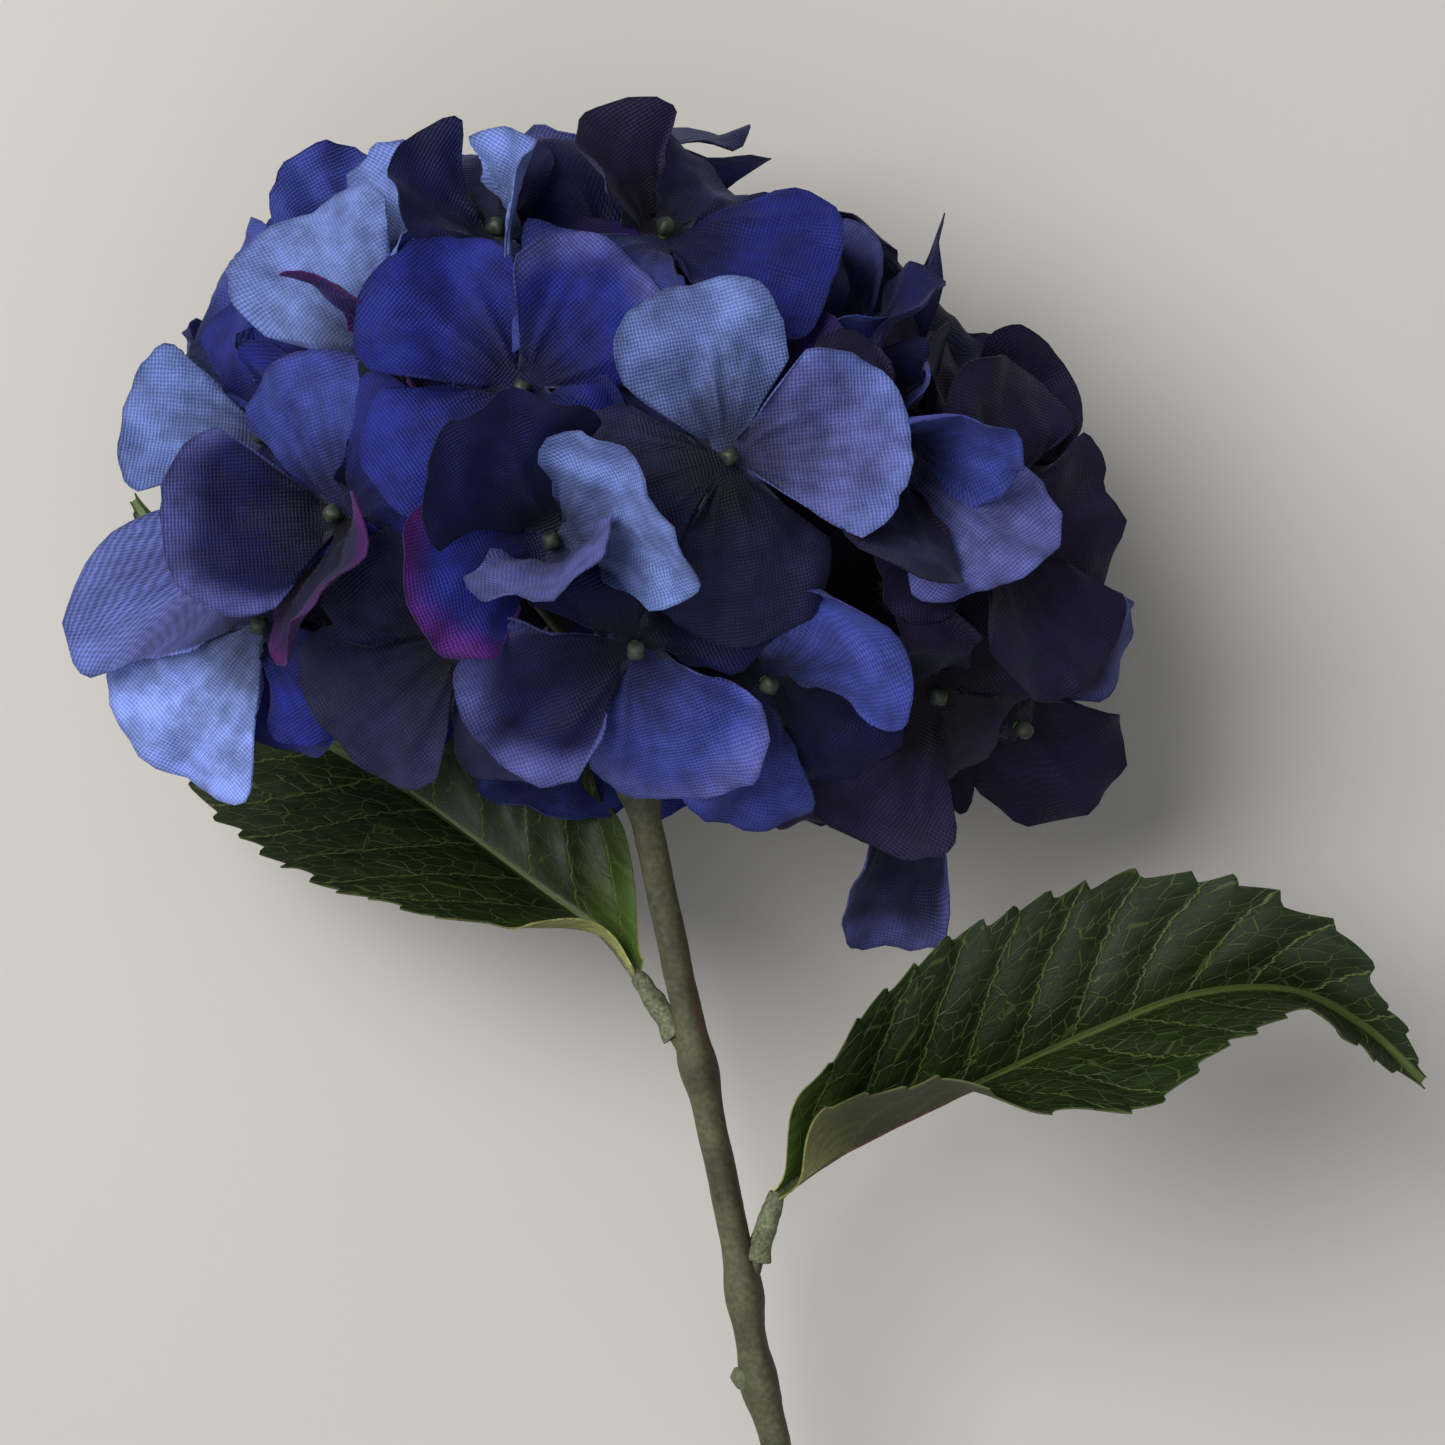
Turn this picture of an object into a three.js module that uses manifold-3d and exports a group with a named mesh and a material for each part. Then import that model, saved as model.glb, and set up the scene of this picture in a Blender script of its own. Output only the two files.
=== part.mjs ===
// A cut stem of artificial hydrangea, lying on a table: one mophead of cloth florets on moulded
// sprays, a moulded stem round a steel wire, and two cloth leaves on moulded ribs.
// Millimetres, +Z up. The head lies at the +Y end and the cut end at -Y.
import * as THREE from 'three';
import { ConvexGeometry } from 'three/addons/geometries/ConvexGeometry.js';
import { mergeVertices } from 'three/addons/utils/BufferGeometryUtils.js';
import Module from 'manifold-3d';

const wasm = await Module();
wasm.setup();

// ---- Driving sizes ----
const HEAD_WIDTH = 180;         // across the mophead, floret centres to +-90
const HEAD_HEIGHT = 128;        // along the stem
const HEAD_DEPTH = 136;         // table to the front of the head
const STEM_LENGTH = 342;        // from the socket under the head to the cut end, along Y
const STEM_RADIUS = 3.0;
const WIRE_RADIUS = 1.2;
const LEAF_LENGTH = 126;
const LEAF_WIDTH = 58;
const PETAL_LENGTH = 29;
const PETAL_WIDTH = 30;
const CLOTH = 0.8;              // stiffened cloth of petals and leaves
const GAP = 0.3;                // clearance between neighbouring pieces
const SEAT = 0.35;              // clearance of a floret to the calyx and the bead on its pedicel
const TRIM = 0.6;               // clearance where cloth is cut back behind other cloth
const TOUCH = 0.002;            // corners closer than this are one
const COARSE = 0.22;            // cut edges shorter than this are smoothed away

// The socket on the stem's top end holds the stalks of all the sprays.
const STALK_RADIUS = 0.9;
const STALK_RING = 2.3;         // the outer stalks stand on this radius round the middle one
const SOCKET_DEPTH = 8;
const SOCKET_WALL = 1.0;
const SOCKET_DROP = 43;         // from the head's centre down to the socket's rim

// A leaf rib's collar is a sleeve over a peg on the stem.
const PEG_RADIUS = 0.95;
const PEG_LENGTH = 9;
const COLLAR_WALL = 0.75;
const COLLAR_LENGTH = 13;
const RIB_RADIUS = 0.9;
const NODE_SWELLING = 0.9;

// A floret is threaded on its pedicel between a small calyx below and a bead above.
const PEDICEL_RADIUS = 0.8;
const BEAD_RADIUS = 1.6;
const CALYX_RADIUS = 2.4;
const CALYX_LENGTH = 4;

const PETAL_TURN = 90;          // four petals in a ring
const SPRAY_COUNT = 6;          // sprays round the middle one
const SPRAY_ANGLE = 360 / SPRAY_COUNT;

// ---- Colours ----
const cloth = (color) => new THREE.MeshStandardMaterial({ color, roughness: 0.85, metalness: 0 });
const BLUES = [0x2c35a0, 0x3a49b4, 0x5468bd, 0x252a7c, 0x43449a, 0x2a2460].map(cloth);
const STEM_GREEN = new THREE.MeshStandardMaterial({ color: 0x56594a, roughness: 0.7, metalness: 0 });
const RIB_GREEN = new THREE.MeshStandardMaterial({ color: 0x5c6450, roughness: 0.75, metalness: 0 });
const SPRAY_GREEN = new THREE.MeshStandardMaterial({ color: 0x3c4a30, roughness: 0.7, metalness: 0 });
const LEAF_GREEN = new THREE.MeshStandardMaterial({ color: 0x1f3a1c, roughness: 0.45, metalness: 0 });
const STEEL = new THREE.MeshStandardMaterial({ color: 0x9a9a98, roughness: 0.4, metalness: 1 });

// ---- Small helpers ----
const vec = (x, y, z) => new THREE.Vector3(x, y, z);
const rad = THREE.MathUtils.degToRad;
const mix = THREE.MathUtils.lerp;

// A value that passes smoothly through evenly spaced ones as share goes from 0 to 1.
function through(values, share) {
  const place = THREE.MathUtils.clamp(share, 0, 1) * (values.length - 1);
  const first = Math.min(Math.floor(place), values.length - 2);
  return mix(values[first], values[first + 1], THREE.MathUtils.smoothstep(place - first, 0, 1));
}

// A three.js geometry with shared vertices as a solid, and back.
function solidFrom(geometry) {
  return new wasm.Manifold(new wasm.Mesh({
    numProp: 3,
    vertProperties: geometry.attributes.position.array,
    triVerts: new Uint32Array(geometry.index.array),
  }));
}

function geometryFrom(solid) {
  const { vertProperties, triVerts } = solid.getMesh();
  const geometry = new THREE.BufferGeometry();
  geometry.setAttribute('position', new THREE.BufferAttribute(vertProperties, 3));
  geometry.setIndex(new THREE.BufferAttribute(triVerts, 1));
  return geometry;
}

function shared(geometry) {
  geometry.deleteAttribute('normal');
  geometry.deleteAttribute('uv');
  return mergeVertices(geometry);
}

// Moves each vertex of a three.js primitive and makes it a solid.
function bend(geometry, place) {
  const merged = shared(geometry);
  const at = merged.attributes.position;
  for (let i = 0; i < at.count; i += 1) {
    const target = place(at.getX(i), at.getY(i), at.getZ(i));
    at.setXYZ(i, target.x, target.y, target.z);
  }
  return solidFrom(merged);
}

function join(solids) {
  return solids.reduce((whole, piece) => whole.add(piece));
}

// The main body of a solid, without crumbs left by a cut and without needless short edges.
function largest(solid) {
  const tidy = solidFrom(mergeVertices(geometryFrom(solid.simplify(COARSE)), TOUCH));
  return tidy.decompose().reduce((best, body) => (body.volume() > best.volume() ? body : best));
}

// Two directions square to the curve at each of the shares, turning as little as they can.
function framesAlong(curve, shares) {
  const first = curve.getTangentAt(shares[0]);
  let across = vec(0, 0, 1).cross(first);
  if (across.length() < 0.1) across = vec(0, 1, 0).cross(first);
  return shares.map((share) => {
    const along = curve.getTangentAt(share);
    across = across.clone().addScaledVector(along, -across.dot(along)).normalize();
    return [across, along.clone().cross(across)];
  });
}

const evenly = (steps) => Array.from({ length: steps + 1 }, (_, step) => step / steps);

// A round bar along a curve, with a ring at each share and radii[i] or radiusAt(share) there.
function bar(curve, radius, steps, sides) {
  const shares = Array.isArray(steps) ? steps : evenly(steps);
  const radiusAt = Array.isArray(radius) ? (step) => radius[step] : (step) => radius(shares[step]);
  const frames = framesAlong(curve, shares);
  const rings = shares.length - 1;
  return bend(new THREE.CylinderGeometry(1, 1, 1, sides, rings), (x, y, z) => {
    const step = Math.round((y + 0.5) * rings);
    const [across, upward] = frames[step];
    return curve.getPointAt(shares[step])
      .addScaledVector(across, x * radiusAt(step))
      .addScaledVector(upward, -z * radiusAt(step));
  });
}

const smoothCurve = (points) => new THREE.CatmullRomCurve3(points, false, 'centripetal');

// A sheet of cloth. middle(u, v) is its mid surface, u along from 0 to 1 and v across from -1 to 1.
function sheet(middle, columns, rows, thickness) {
  const small = 0.01;
  return bend(new THREE.BoxGeometry(2, 1, 1, columns, rows, 1), (v, y, side) => {
    const u = y + 0.5;
    const across = middle(u, v + small).sub(middle(u, v - small));
    const along = middle(u + small, v).sub(middle(u - small, v));
    const normal = across.cross(along).normalize();
    return middle(u, v).addScaledVector(normal, side * thickness);
  });
}

// ---- The head's frame: x to the right, y away from the stem, z up from the table ----
const HALF = vec(HEAD_WIDTH / 2, HEAD_HEIGHT / 2, HEAD_DEPTH / 2);
const inHead = (share) => vec(share[0], share[1], share[2]).multiply(HALF).add(vec(0, 0, HALF.z));

// The outward direction of something that faces yaw degrees round the head and pitch degrees up it.
function facing(yaw, pitch) {
  const level = Math.cos(rad(pitch));
  return vec(Math.sin(rad(yaw)) * level, Math.sin(rad(pitch)), Math.cos(rad(yaw)) * level);
}

// ---- Florets ----
// How a petal leaves the floret's plane: rise at its base, curl along it, cup of its side edges.
const PETAL_FORMS = {
  open: [14, -18, 10],
  flat: [4, -10, 5],
  cup: [42, 8, 24],
  droop: [-2, -50, -12],
  fold: [20, -10, 62],
  upright: [72, 0, 18],
  closed: [50, 12, 14],
  back: [-25, -35, -10],
  pressed: [32, -12, 4],
};

const CLOSED_WIDTH = 0.85;      // petals of a closed floret draw in at the sides
const HANGING_WIDTH = 0.66;     // and those of the one that hangs under the head

// Shown florets, outermost first: the centre as shares of the head's half sizes, the way it
// faces as [yaw, pitch], and four petals as [form, turn, size].
const SHOWN_FLORETS = [
  { at: [0.25, 0.01, 0.74], face: [12, 5], hue: 2,
    petals: [['open', 104, 1.03], ['open', 5, 1.05], ['droop', 195, 0.95], ['droop', -74, 1.1]] },
  { at: [-0.07, -0.2, 0.68], face: [-8, -5], hue: 3,
    petals: [['cup', 18, 1], ['cup', 112, 1.1], ['cup', 200, 1], ['upright', 285, 0.9]] },
  { at: [0.08, -0.47, 0.65], face: [5, -30], hue: 0,
    petals: [['open', 30, 0.9], ['flat', 120, 0.8], ['open', 205, 1.05], ['open', 292, 1.05]] },
  { at: [0.32, -0.56, 0.5], face: [30, -30], hue: 1,
    petals: [['cup', 60, 1], ['open', -22, 1], ['open', -92, 1], ['back', 165, 0.8]] },
  { at: [-0.13, 0.19, 0.65], face: [0, 10], hue: 0,
    petals: [['open', 45, 1], ['open', 140, 1.05], ['open', 215, 1], ['fold', -40, 0.8]] },
  { at: [0.58, 0.04, 0.47], face: [30, -8], hue: 4,
    petals: [['upright', 60, 0.9], ['cup', -50, 1.05], ['cup', -135, 1.1], ['open', 150, 0.9]] },
  { at: [-0.48, -0.12, 0.47], face: [-35, 0], hue: 0,
    petals: [['cup', 184, 1.1], ['open', 108, 1], ['open', 32, 1], ['cup', -65, 1.05]] },
  { at: [-0.39, 0.3, 0.54], face: [-25, 15], hue: 4,
    petals: [['open', 128, 1.1], ['open', 218, 1.05], ['upright', 60, 0.9], ['fold', -40, 0.9]] },
  { at: [0.13, 0.62, 0.47], face: [15, 40], hue: 3,
    petals: [['open', -25, 1.05], ['flat', 65, 0.8], ['cup', 145, 0.85], ['open', 215, 0.95]] },
  { at: [-0.18, 0.62, 0.47], face: [-12, 40], hue: 1,
    petals: [['cup', 180, 0.8], ['open', 100, 0.75], ['upright', 20, 0.75], ['open', -75, 0.9]] },
  { at: [0.74, -0.14, 0.35], face: [38, 5], hue: 5,
    petals: [['open', 75, 1], ['open', 5, 1], ['open', -55, 1.1], ['flat', 190, 0.9]] },
  { at: [-0.25, -0.45, 0.47], face: [-10, -30], hue: 4,
    petals: [['open', 215, 1.05], ['open', 125, 0.9], ['cup', 20, 0.9], ['open', 300, 1]] },
  { at: [-0.63, 0.1, 0.25], face: [-45, 12], hue: 1,
    petals: [['open', 108, 1.1], ['cup', 185, 0.95], ['open', -110, 1.05], ['cup', 20, 0.9]] },
  { at: [0.68, 0.1, 0.1], face: [45, 30], hue: 5,
    petals: [['open', 90, 0.9], ['cup', 10, 0.9], ['open', -80, 0.9], ['cup', 180, 0.9]] },
  { at: [0.2, 0.36, 0.44], face: [5, 30], hue: 5,
    petals: [['open', 45, 1], ['open', 135, 1], ['open', 225, 1], ['open', 315, 1]] },
  { at: [0.65, -0.59, 0.25], face: [22, -25], hue: 5,
    petals: [['open', 45, 0.95], ['droop', -35, 1.05], ['open', -115, 1.05], ['cup', 150, 1]] },
  { at: [-0.64, -0.4, 0.31], face: [-15, -25], hue: 2,
    petals: [['open', 164, 1.2], ['open', 226, 1.2], ['open', -60, 0.8], ['open', 80, 0.9]] },
  { at: [-0.5, -0.4, 0.29], face: [-25, -30], hue: 0,
    petals: [['open', 40, 1], ['open', 130, 1], ['open', 215, 1], ['open', 310, 1]] },
  { at: [0.43, 0.3, 0.25], face: [20, 60], hue: 5, width: CLOSED_WIDTH,
    petals: [['closed', 45, 1], ['closed', 135, 1], ['closed', 225, 1], ['closed', 315, 1]] },
  { at: [0.53, 0.22, 0.2], face: [35, 60], hue: 3, width: CLOSED_WIDTH,
    petals: [['closed', 30, 1], ['closed', 120, 1], ['closed', 210, 1], ['closed', 300, 1]] },
  { at: [-0.44, 0.54, 0.18], face: [-20, 42], hue: 1,
    petals: [['cup', 40, 0.9], ['cup', 130, 0.9], ['cup', 220, 0.9], ['cup', 310, 0.9]] },
  { at: [0.55, -0.3, 0.2], face: [25, -15], hue: 3,
    petals: [['open', 60, 1], ['open', -30, 1], ['open', -120, 1], ['open', 150, 1]] },
  { at: [0.62, -0.86, 0.03], face: [20, -50], hue: 4, width: HANGING_WIDTH,
    petals: [['fold', -88, 1.2], ['open', 0, 1], ['open', 80, 1], ['open', 180, 1]] },
  { at: [0.82, -0.68, 0.03], face: [50, -25], hue: 5,
    petals: [['open', 50, 1], ['open', -30, 1], ['open', -120, 1], ['open', 140, 1]] },
];

// Florets of the sides, the top and the back, as [yaw, pitch, turn] with four petals a quarter
// turn apart. The lowest lies under the head's weight and spreads on the table.
const PLAIN_FLORETS = [
  [-95, 22, 20], [-138, 42, 50], [-155, 2, 10], [176, 32, 40], [-176, -12, 70], [145, 12, 30],
  [118, 36, 180], [100, 5, 15], [152, -38, 50], [-178, -48, 30], [108, -36, 25], [20, 80, 45],
  [-75, 62, 60], [-122, -10, 10], [165, 62, 30],
];
const LOWEST = 4;               // the row of the floret that the head rests on
const PLAIN_REACH = 0.89;       // their centres, as a share of the head's half sizes
const BACK_YAW = 140;
const BACK_REST = 5.2;          // the lowest floret's centre above the table
const SIDE_FORMS = ['open', 'flat', 'open', 'droop'];
const BACK_FORMS = ['flat', 'flat', 'flat', 'flat'];
const PRESSED_FORMS = ['pressed', 'pressed', 'pressed', 'pressed'];
const PRESSED_WIDTH = 0.76;     // pressed petals draw in at the sides

function plainFloret([yaw, pitch, turn], index) {
  const out = facing(yaw, pitch).multiplyScalar(PLAIN_REACH);
  const lowest = BACK_REST / HALF.z - 1;
  const isBack = Math.abs(yaw) > BACK_YAW;
  const isLowest = index === LOWEST;
  const forms = isLowest ? PRESSED_FORMS : (isBack ? BACK_FORMS : SIDE_FORMS);
  return {
    at: [out.x, out.y, isLowest ? lowest : out.z],
    face: [yaw, pitch],
    hue: index % BLUES.length,
    isLowest,
    width: isLowest ? PRESSED_WIDTH : 1,
    petals: forms.map((form, side) => [form, turn + side * PETAL_TURN, 1]),
  };
}

// Sorts petals round the floret. Where two meet, the steeper one's side lies over the other's,
// written as 1 or -1 for each petal's right and left side.
function withSides(petals) {
  const sorted = [...petals].sort((a, b) => a[1] - b[1]);
  const rises = sorted.map(([form]) => PETAL_FORMS[form][0]);
  const last = sorted.length - 1;
  return sorted.map((petal, index) => {
    const overBefore = rises[index] > rises[index === 0 ? last : index - 1];
    const overAfter = rises[index] >= rises[index === last ? 0 : index + 1];
    return [...petal, overBefore ? 1 : -1, overAfter ? 1 : -1];
  });
}

// rings counts the bands of a floret's sheet: hole to seat, then one or two on to the outline.
// The pressed floret has two, to lie flat from its middle on.
const FLORETS = [...SHOWN_FLORETS, ...PLAIN_FLORETS.map(plainFloret)].map((floret) => {
  const [yaw, pitch] = floret.face;
  const normal = facing(yaw, pitch);
  const right = vec(Math.cos(rad(yaw)), 0, -Math.sin(rad(yaw)));
  const rings = floret.isLowest ? 3 : 2;
  const petals = withSides(floret.petals);
  const up = normal.clone().cross(right);
  return { width: 1, ...floret, petals, rings, centre: inHead(floret.at), normal, right, up };
});

// A point of the cloth, reach along a petal and lateral across it, once the petal is shaped.
function shapedPoint(floret, [form, turn, size, right, left], reach, lateral) {
  const [rise, curl, cup] = PETAL_FORMS[form].map(rad);
  const share = Math.max(reach - SEAT_RADIUS, 0) / (PETAL_LENGTH * size);
  const pitch = rise + curl * share;
  const slope = rise + (curl * share) / 2;
  const edge = ((2 * lateral) / (PETAL_WIDTH * size)) * cup;
  const arc = edge === 0 ? lateral : (lateral * Math.sin(edge)) / edge;
  const lift = edge === 0 ? 0 : (lateral * (1 - Math.cos(edge))) / edge;
  const risen = Math.max(reach - SEAT_RADIUS, 0);
  const tilt = rad(SIDE_TILT) + SIDE_TILT_GAIN * Math.abs(rise);
  const high = lift + Math.abs(lateral) * (lateral < 0 ? right : left) * Math.tan(tilt);
  const level = Math.min(reach, SEAT_RADIUS);
  const out = floret.right.clone().multiplyScalar(Math.cos(rad(turn)))
    .addScaledVector(floret.up, Math.sin(rad(turn)));
  const aside = floret.normal.clone().cross(out);
  return floret.centre.clone()
    .addScaledVector(out, level + risen * Math.cos(slope) - high * Math.sin(pitch))
    .addScaledVector(floret.normal, risen * Math.sin(slope) + high * Math.cos(pitch))
    .addScaledVector(aside, arc);
}

// A petal's outline from its right notch round to its left, in petal lengths and widths.
const PETAL_OUTLINE = [[0.54, -0.5], [0.92, -0.34], [0.92, 0.34], [0.54, 0.5]];
const HOLE_RADIUS = PEDICEL_RADIUS + GAP + 0.1;
const SEAT_RADIUS = 2.8;        // the flat ring round the hole, between calyx and bead
const NOTCH_RADIUS = 4.2;       // the cloth is whole to here between two petals
const MID_PETAL = 0.5;
const SIDE_TILT = 9;            // how far a flat petal's sides tilt to pass over or under its neighbours
const SIDE_TILT_GAIN = 0.2;     // steeper petals tilt further, by this share of their rise

// One die-cut piece: a sheet in rings round its hole, with four petals. Column 0 of each petal is
// the notch before it. Returns the point of a column (counted right round) and a ring.
function floretPoints(floret) {
  const { petals } = floret;
  const columns = PETAL_OUTLINE.length + 1;
  return (column, ring) => {
    const index = Math.floor(column / columns) % petals.length;
    const petal = petals[index];
    const before = petals[(index + petals.length - 1) % petals.length];
    const wrap = index === 0 ? 360 : 0;
    const notch = (petal[1] + before[1] - wrap) / 2;
    const within = column % columns;
    const turn = mix(notch, petal[1] + (petal[1] - notch), within / columns);
    const flat = (radius) => shapedPoint(floret, ['open', turn, 1, 0, 0], radius, 0);
    if (ring === 0) return flat(HOLE_RADIUS);
    if (ring === 1) return flat(SEAT_RADIUS);
    if (within === 0) return flat(mix(SEAT_RADIUS, NOTCH_RADIUS, (ring - 1) / (floret.rings - 1)));
    const [long, wide] = PETAL_OUTLINE[within - 1];
    const share = ring === floret.rings ? 1 : MID_PETAL;
    const reach = mix(SEAT_RADIUS, PETAL_LENGTH * petal[2] * long, share);
    const across = PETAL_WIDTH * petal[2] * floret.width * wide * share;
    return shapedPoint(floret, petal, reach, across);
  };
}

const PETAL_COLUMNS = PETAL_OUTLINE.length + 1;
const COLUMNS = 4 * PETAL_COLUMNS;

// The floret's cloth, pressed onto the table where it would reach below it: the point of a column
// and a ring, height above the middle of the cloth, square to the mean of the cloth round it.
function floretSheet(floret) {
  const pointAt = floretPoints(floret);
  const pressed = (column, ring) => {
    const point = pointAt((column + COLUMNS) % COLUMNS, ring);
    point.z = Math.max(point.z, CLOTH / 2);
    return point;
  };
  return (column, ring, height) => {
    const middle = pressed(column, ring);
    const normal = vec(0, 0, 0);
    for (const aside of [1, -1]) {
      for (const outward of [1, -1]) {
        if (ring + outward < 0 || ring + outward > floret.rings) continue;
        const along = pressed(column, ring + outward).sub(middle);
        const around = pressed(column + aside, ring).sub(middle);
        normal.addScaledVector(along.cross(around).normalize(), aside * outward);
      }
    }
    normal.normalize();
    if (middle.z <= CLOTH / 2) normal.set(0, 0, Math.sign(normal.z));
    return middle.addScaledVector(normal, height);
  };
}

// A LatheGeometry ring of square section, opened out into the floret's sheet of cloth.
function floretSolid(floret) {
  const sheetAt = floretSheet(floret);
  const { rings } = floret;
  const lower = evenly(rings).map((share) => new THREE.Vector2(1 + share, -0.5));
  const upper = evenly(rings).map((share) => new THREE.Vector2(2 - share, 0.5));
  const profile = [...lower, ...upper, lower[0]];
  return bend(new THREE.LatheGeometry(profile, COLUMNS), (x, side, z) => {
    const column = Math.round((Math.atan2(x, z) / (2 * Math.PI)) * COLUMNS + COLUMNS) % COLUMNS;
    const ring = Math.round((Math.hypot(x, z) - 1) * rings);
    return sheetAt(column, ring, side * CLOTH);
  });
}

// The room that each petal takes from the cloth behind it: the convex hull of a petal a little
// longer, wider and thicker.
const ROOM_GROWTH = 1 + (2 * TRIM) / PETAL_LENGTH;
function floretRoom(floret) {
  const petals = floret.petals
    .map(([form, turn, size, ...sides]) => [form, turn, size * ROOM_GROWTH, ...sides]);
  const sheetAt = floretSheet({ ...floret, petals });
  return petals.map((petal, index) => {
    const corners = [];
    for (let column = 0; column <= PETAL_COLUMNS; column += 1) {
      for (let ring = 1; ring <= floret.rings; ring += 1) {
        for (const height of [-CLOTH / 2 - TRIM, CLOTH / 2 + TRIM]) {
          corners.push(sheetAt(index * PETAL_COLUMNS + column, ring, height));
        }
      }
    }
    return solidFrom(shared(new ConvexGeometry(corners)));
  });
}

// ---- Stem ----
// The stem's line from the socket's rim to the cut end: sideways, share of the length, share of
// the rim's height above the table.
const RIM_ASIDE = 4.4;          // the rim stands this far to the right of the head's middle
const RIM_LOWER = 7;            // and this far below it
const RIM = vec(RIM_ASIDE, -SOCKET_DROP, HALF.z - RIM_LOWER);
const STEM_LINE = [
  [0, 0, 1], [2.6, 0.037, 0.985], [10.4, 0.148, 0.87], [20.1, 0.284, 0.72], [23.8, 0.351, 0.64],
  [27.3, 0.392, 0.6], [36, 0.62, 0.3], [47.6, 1, 0],
];
const STEM_STEPS = 22;
const STEM_SIDES = 8;
const stemCurve = smoothCurve(STEM_LINE.map(([aside, along, height]) => vec(
  RIM.x + aside, RIM.y - along * STEM_LENGTH, mix(STEM_RADIUS, RIM.z, height),
)));
const stemTop = stemCurve.getTangentAt(0).negate();

// Leaf nodes and the small bud's scar, as shares of the stem's length from the rim.
const LEFT_NODE = 0.185;
const RIGHT_NODE = 0.31;
const BUD_NODE = 0.36;
const SOCKET_RADIUS = STALK_RING + STALK_RADIUS + GAP;
const socketShare = SOCKET_DEPTH / stemCurve.getLength();
const NECK = 0.9;               // the stem's radius under the socket, as a share of the cut end's
const NODE_SPREAD = 0.018;
const FLARE_START = 1.2;        // the socket narrows to the stem between these shares of its depth
const FLARE_END = 2.4;

// The stem thins towards the head, swells at its nodes and flares into the socket.
function stemRadius(share) {
  const swelling = [LEFT_NODE, RIGHT_NODE, BUD_NODE]
    .map((node) => NODE_SWELLING * Math.exp(-(((share - node) / NODE_SPREAD) ** 2)))
    .reduce((most, one) => Math.max(most, one));
  const plain = mix(STEM_RADIUS * NECK, STEM_RADIUS, share) + swelling;
  const flare = 1 - THREE.MathUtils.smoothstep(share, socketShare * FLARE_START, socketShare * FLARE_END);
  return mix(plain, SOCKET_RADIUS + SOCKET_WALL, flare);
}

// The direction of each leaf where it leaves the stem.
const LEFT_OUT = vec(-0.55, 0.82, -0.16).normalize();
const RIGHT_OUT = vec(0.3, 0.94, 0.16).normalize();

const PEG_START = 1.2;          // pegs begin inside the stem, off its middle
function pegLine(node, out, start, end) {
  const root = stemCurve.getPointAt(node);
  return new THREE.LineCurve3(
    root.clone().addScaledVector(out, start), root.clone().addScaledVector(out, end),
  );
}

const straight = (from, to) => new THREE.LineCurve3(from, to);
const PEG_ROOT = 7;             // how far along the peg the collar begins
const PEG_SIDES = 6;
const BUD_OUT = vec(-0.9, 0.35, 0.2).normalize();
const BUD_LENGTH = 2.4;         // the bud stands this far out of the stem
const BUD_FOOT = 2.2;           // its radius at the foot and at the tip
const BUD_TIP = 1.2;

function stemSolid(spare) {
  const body = bar(stemCurve, (share) => stemRadius(share) + spare, STEM_STEPS, STEM_SIDES);
  const pegs = [[LEFT_NODE, LEFT_OUT], [RIGHT_NODE, RIGHT_OUT]].map(([node, out]) => bar(
    pegLine(node, out, PEG_START, PEG_ROOT + PEG_LENGTH),
    (share) => (share * (PEG_ROOT + PEG_LENGTH) < PEG_ROOT ? PEG_RADIUS + COLLAR_WALL : PEG_RADIUS)
      + spare,
    4, PEG_SIDES,
  ));
  const bud = bar(pegLine(BUD_NODE, BUD_OUT, 0, STEM_RADIUS + BUD_LENGTH),
    (share) => mix(BUD_FOOT, BUD_TIP, share) + spare, 2, PEG_SIDES);
  return join([body, ...pegs, bud]);
}

// The wire runs from the cut end to just under the socket's floor, in a bore open at the cut end.
const WIRE_COVER = 6;           // stem between the wire's end and the socket's floor
const WIRE_START = (SOCKET_DEPTH + WIRE_COVER) / stemCurve.getLength();
const WIRE_STEPS = 14;
const WIRE_SIDES = 6;
const SOCKET_SIDES = 12;
function wireCurve(overrun) {
  const points = [];
  for (let step = 0; step <= WIRE_STEPS; step += 1) {
    points.push(stemCurve.getPointAt(mix(WIRE_START, 1, step / WIRE_STEPS)));
  }
  const end = points[WIRE_STEPS];
  end.addScaledVector(stemCurve.getTangentAt(1), overrun);
  points[0].addScaledVector(stemCurve.getTangentAt(WIRE_START), -overrun);
  return smoothCurve(points);
}

function stem() {
  const socket = bar(
    straight(RIM.clone().addScaledVector(stemTop, -SOCKET_DEPTH), RIM.clone().addScaledVector(stemTop, 1)),
    () => SOCKET_RADIUS, 1, SOCKET_SIDES,
  );
  const bore = bar(wireCurve(GAP), () => WIRE_RADIUS + GAP, WIRE_STEPS, WIRE_SIDES);
  return stemSolid(0).subtract(socket).subtract(bore);
}

const wire = () => bar(wireCurve(0), () => WIRE_RADIUS, WIRE_STEPS, WIRE_SIDES);

// ---- Sprays: a stalk in the socket, a fork inside the head, and a pedicel to each floret ----
const FORK_SHARE = 0.3;         // how far out from the head's centre a spray forks
const TOP_PITCH = 52;           // florets that stand higher than this are on the middle spray
const STALK_GRIP = SOCKET_DEPTH - GAP;

function sprayOf({ at: [aside, high, forward] }) {
  const pitch = THREE.MathUtils.radToDeg(Math.atan2(high, Math.hypot(aside, forward)));
  const yaw = THREE.MathUtils.radToDeg(Math.atan2(aside, forward));
  if (pitch > TOP_PITCH) return SPRAY_COUNT;
  return Math.round((yaw + 360) / SPRAY_ANGLE) % SPRAY_COUNT;
}

// Two directions square to the stem's top, the second towards the front of the head.
const socketSide = vec(0, 0, 1).cross(stemTop).normalize().negate();
const socketFront = socketSide.clone().cross(stemTop).normalize();

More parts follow.
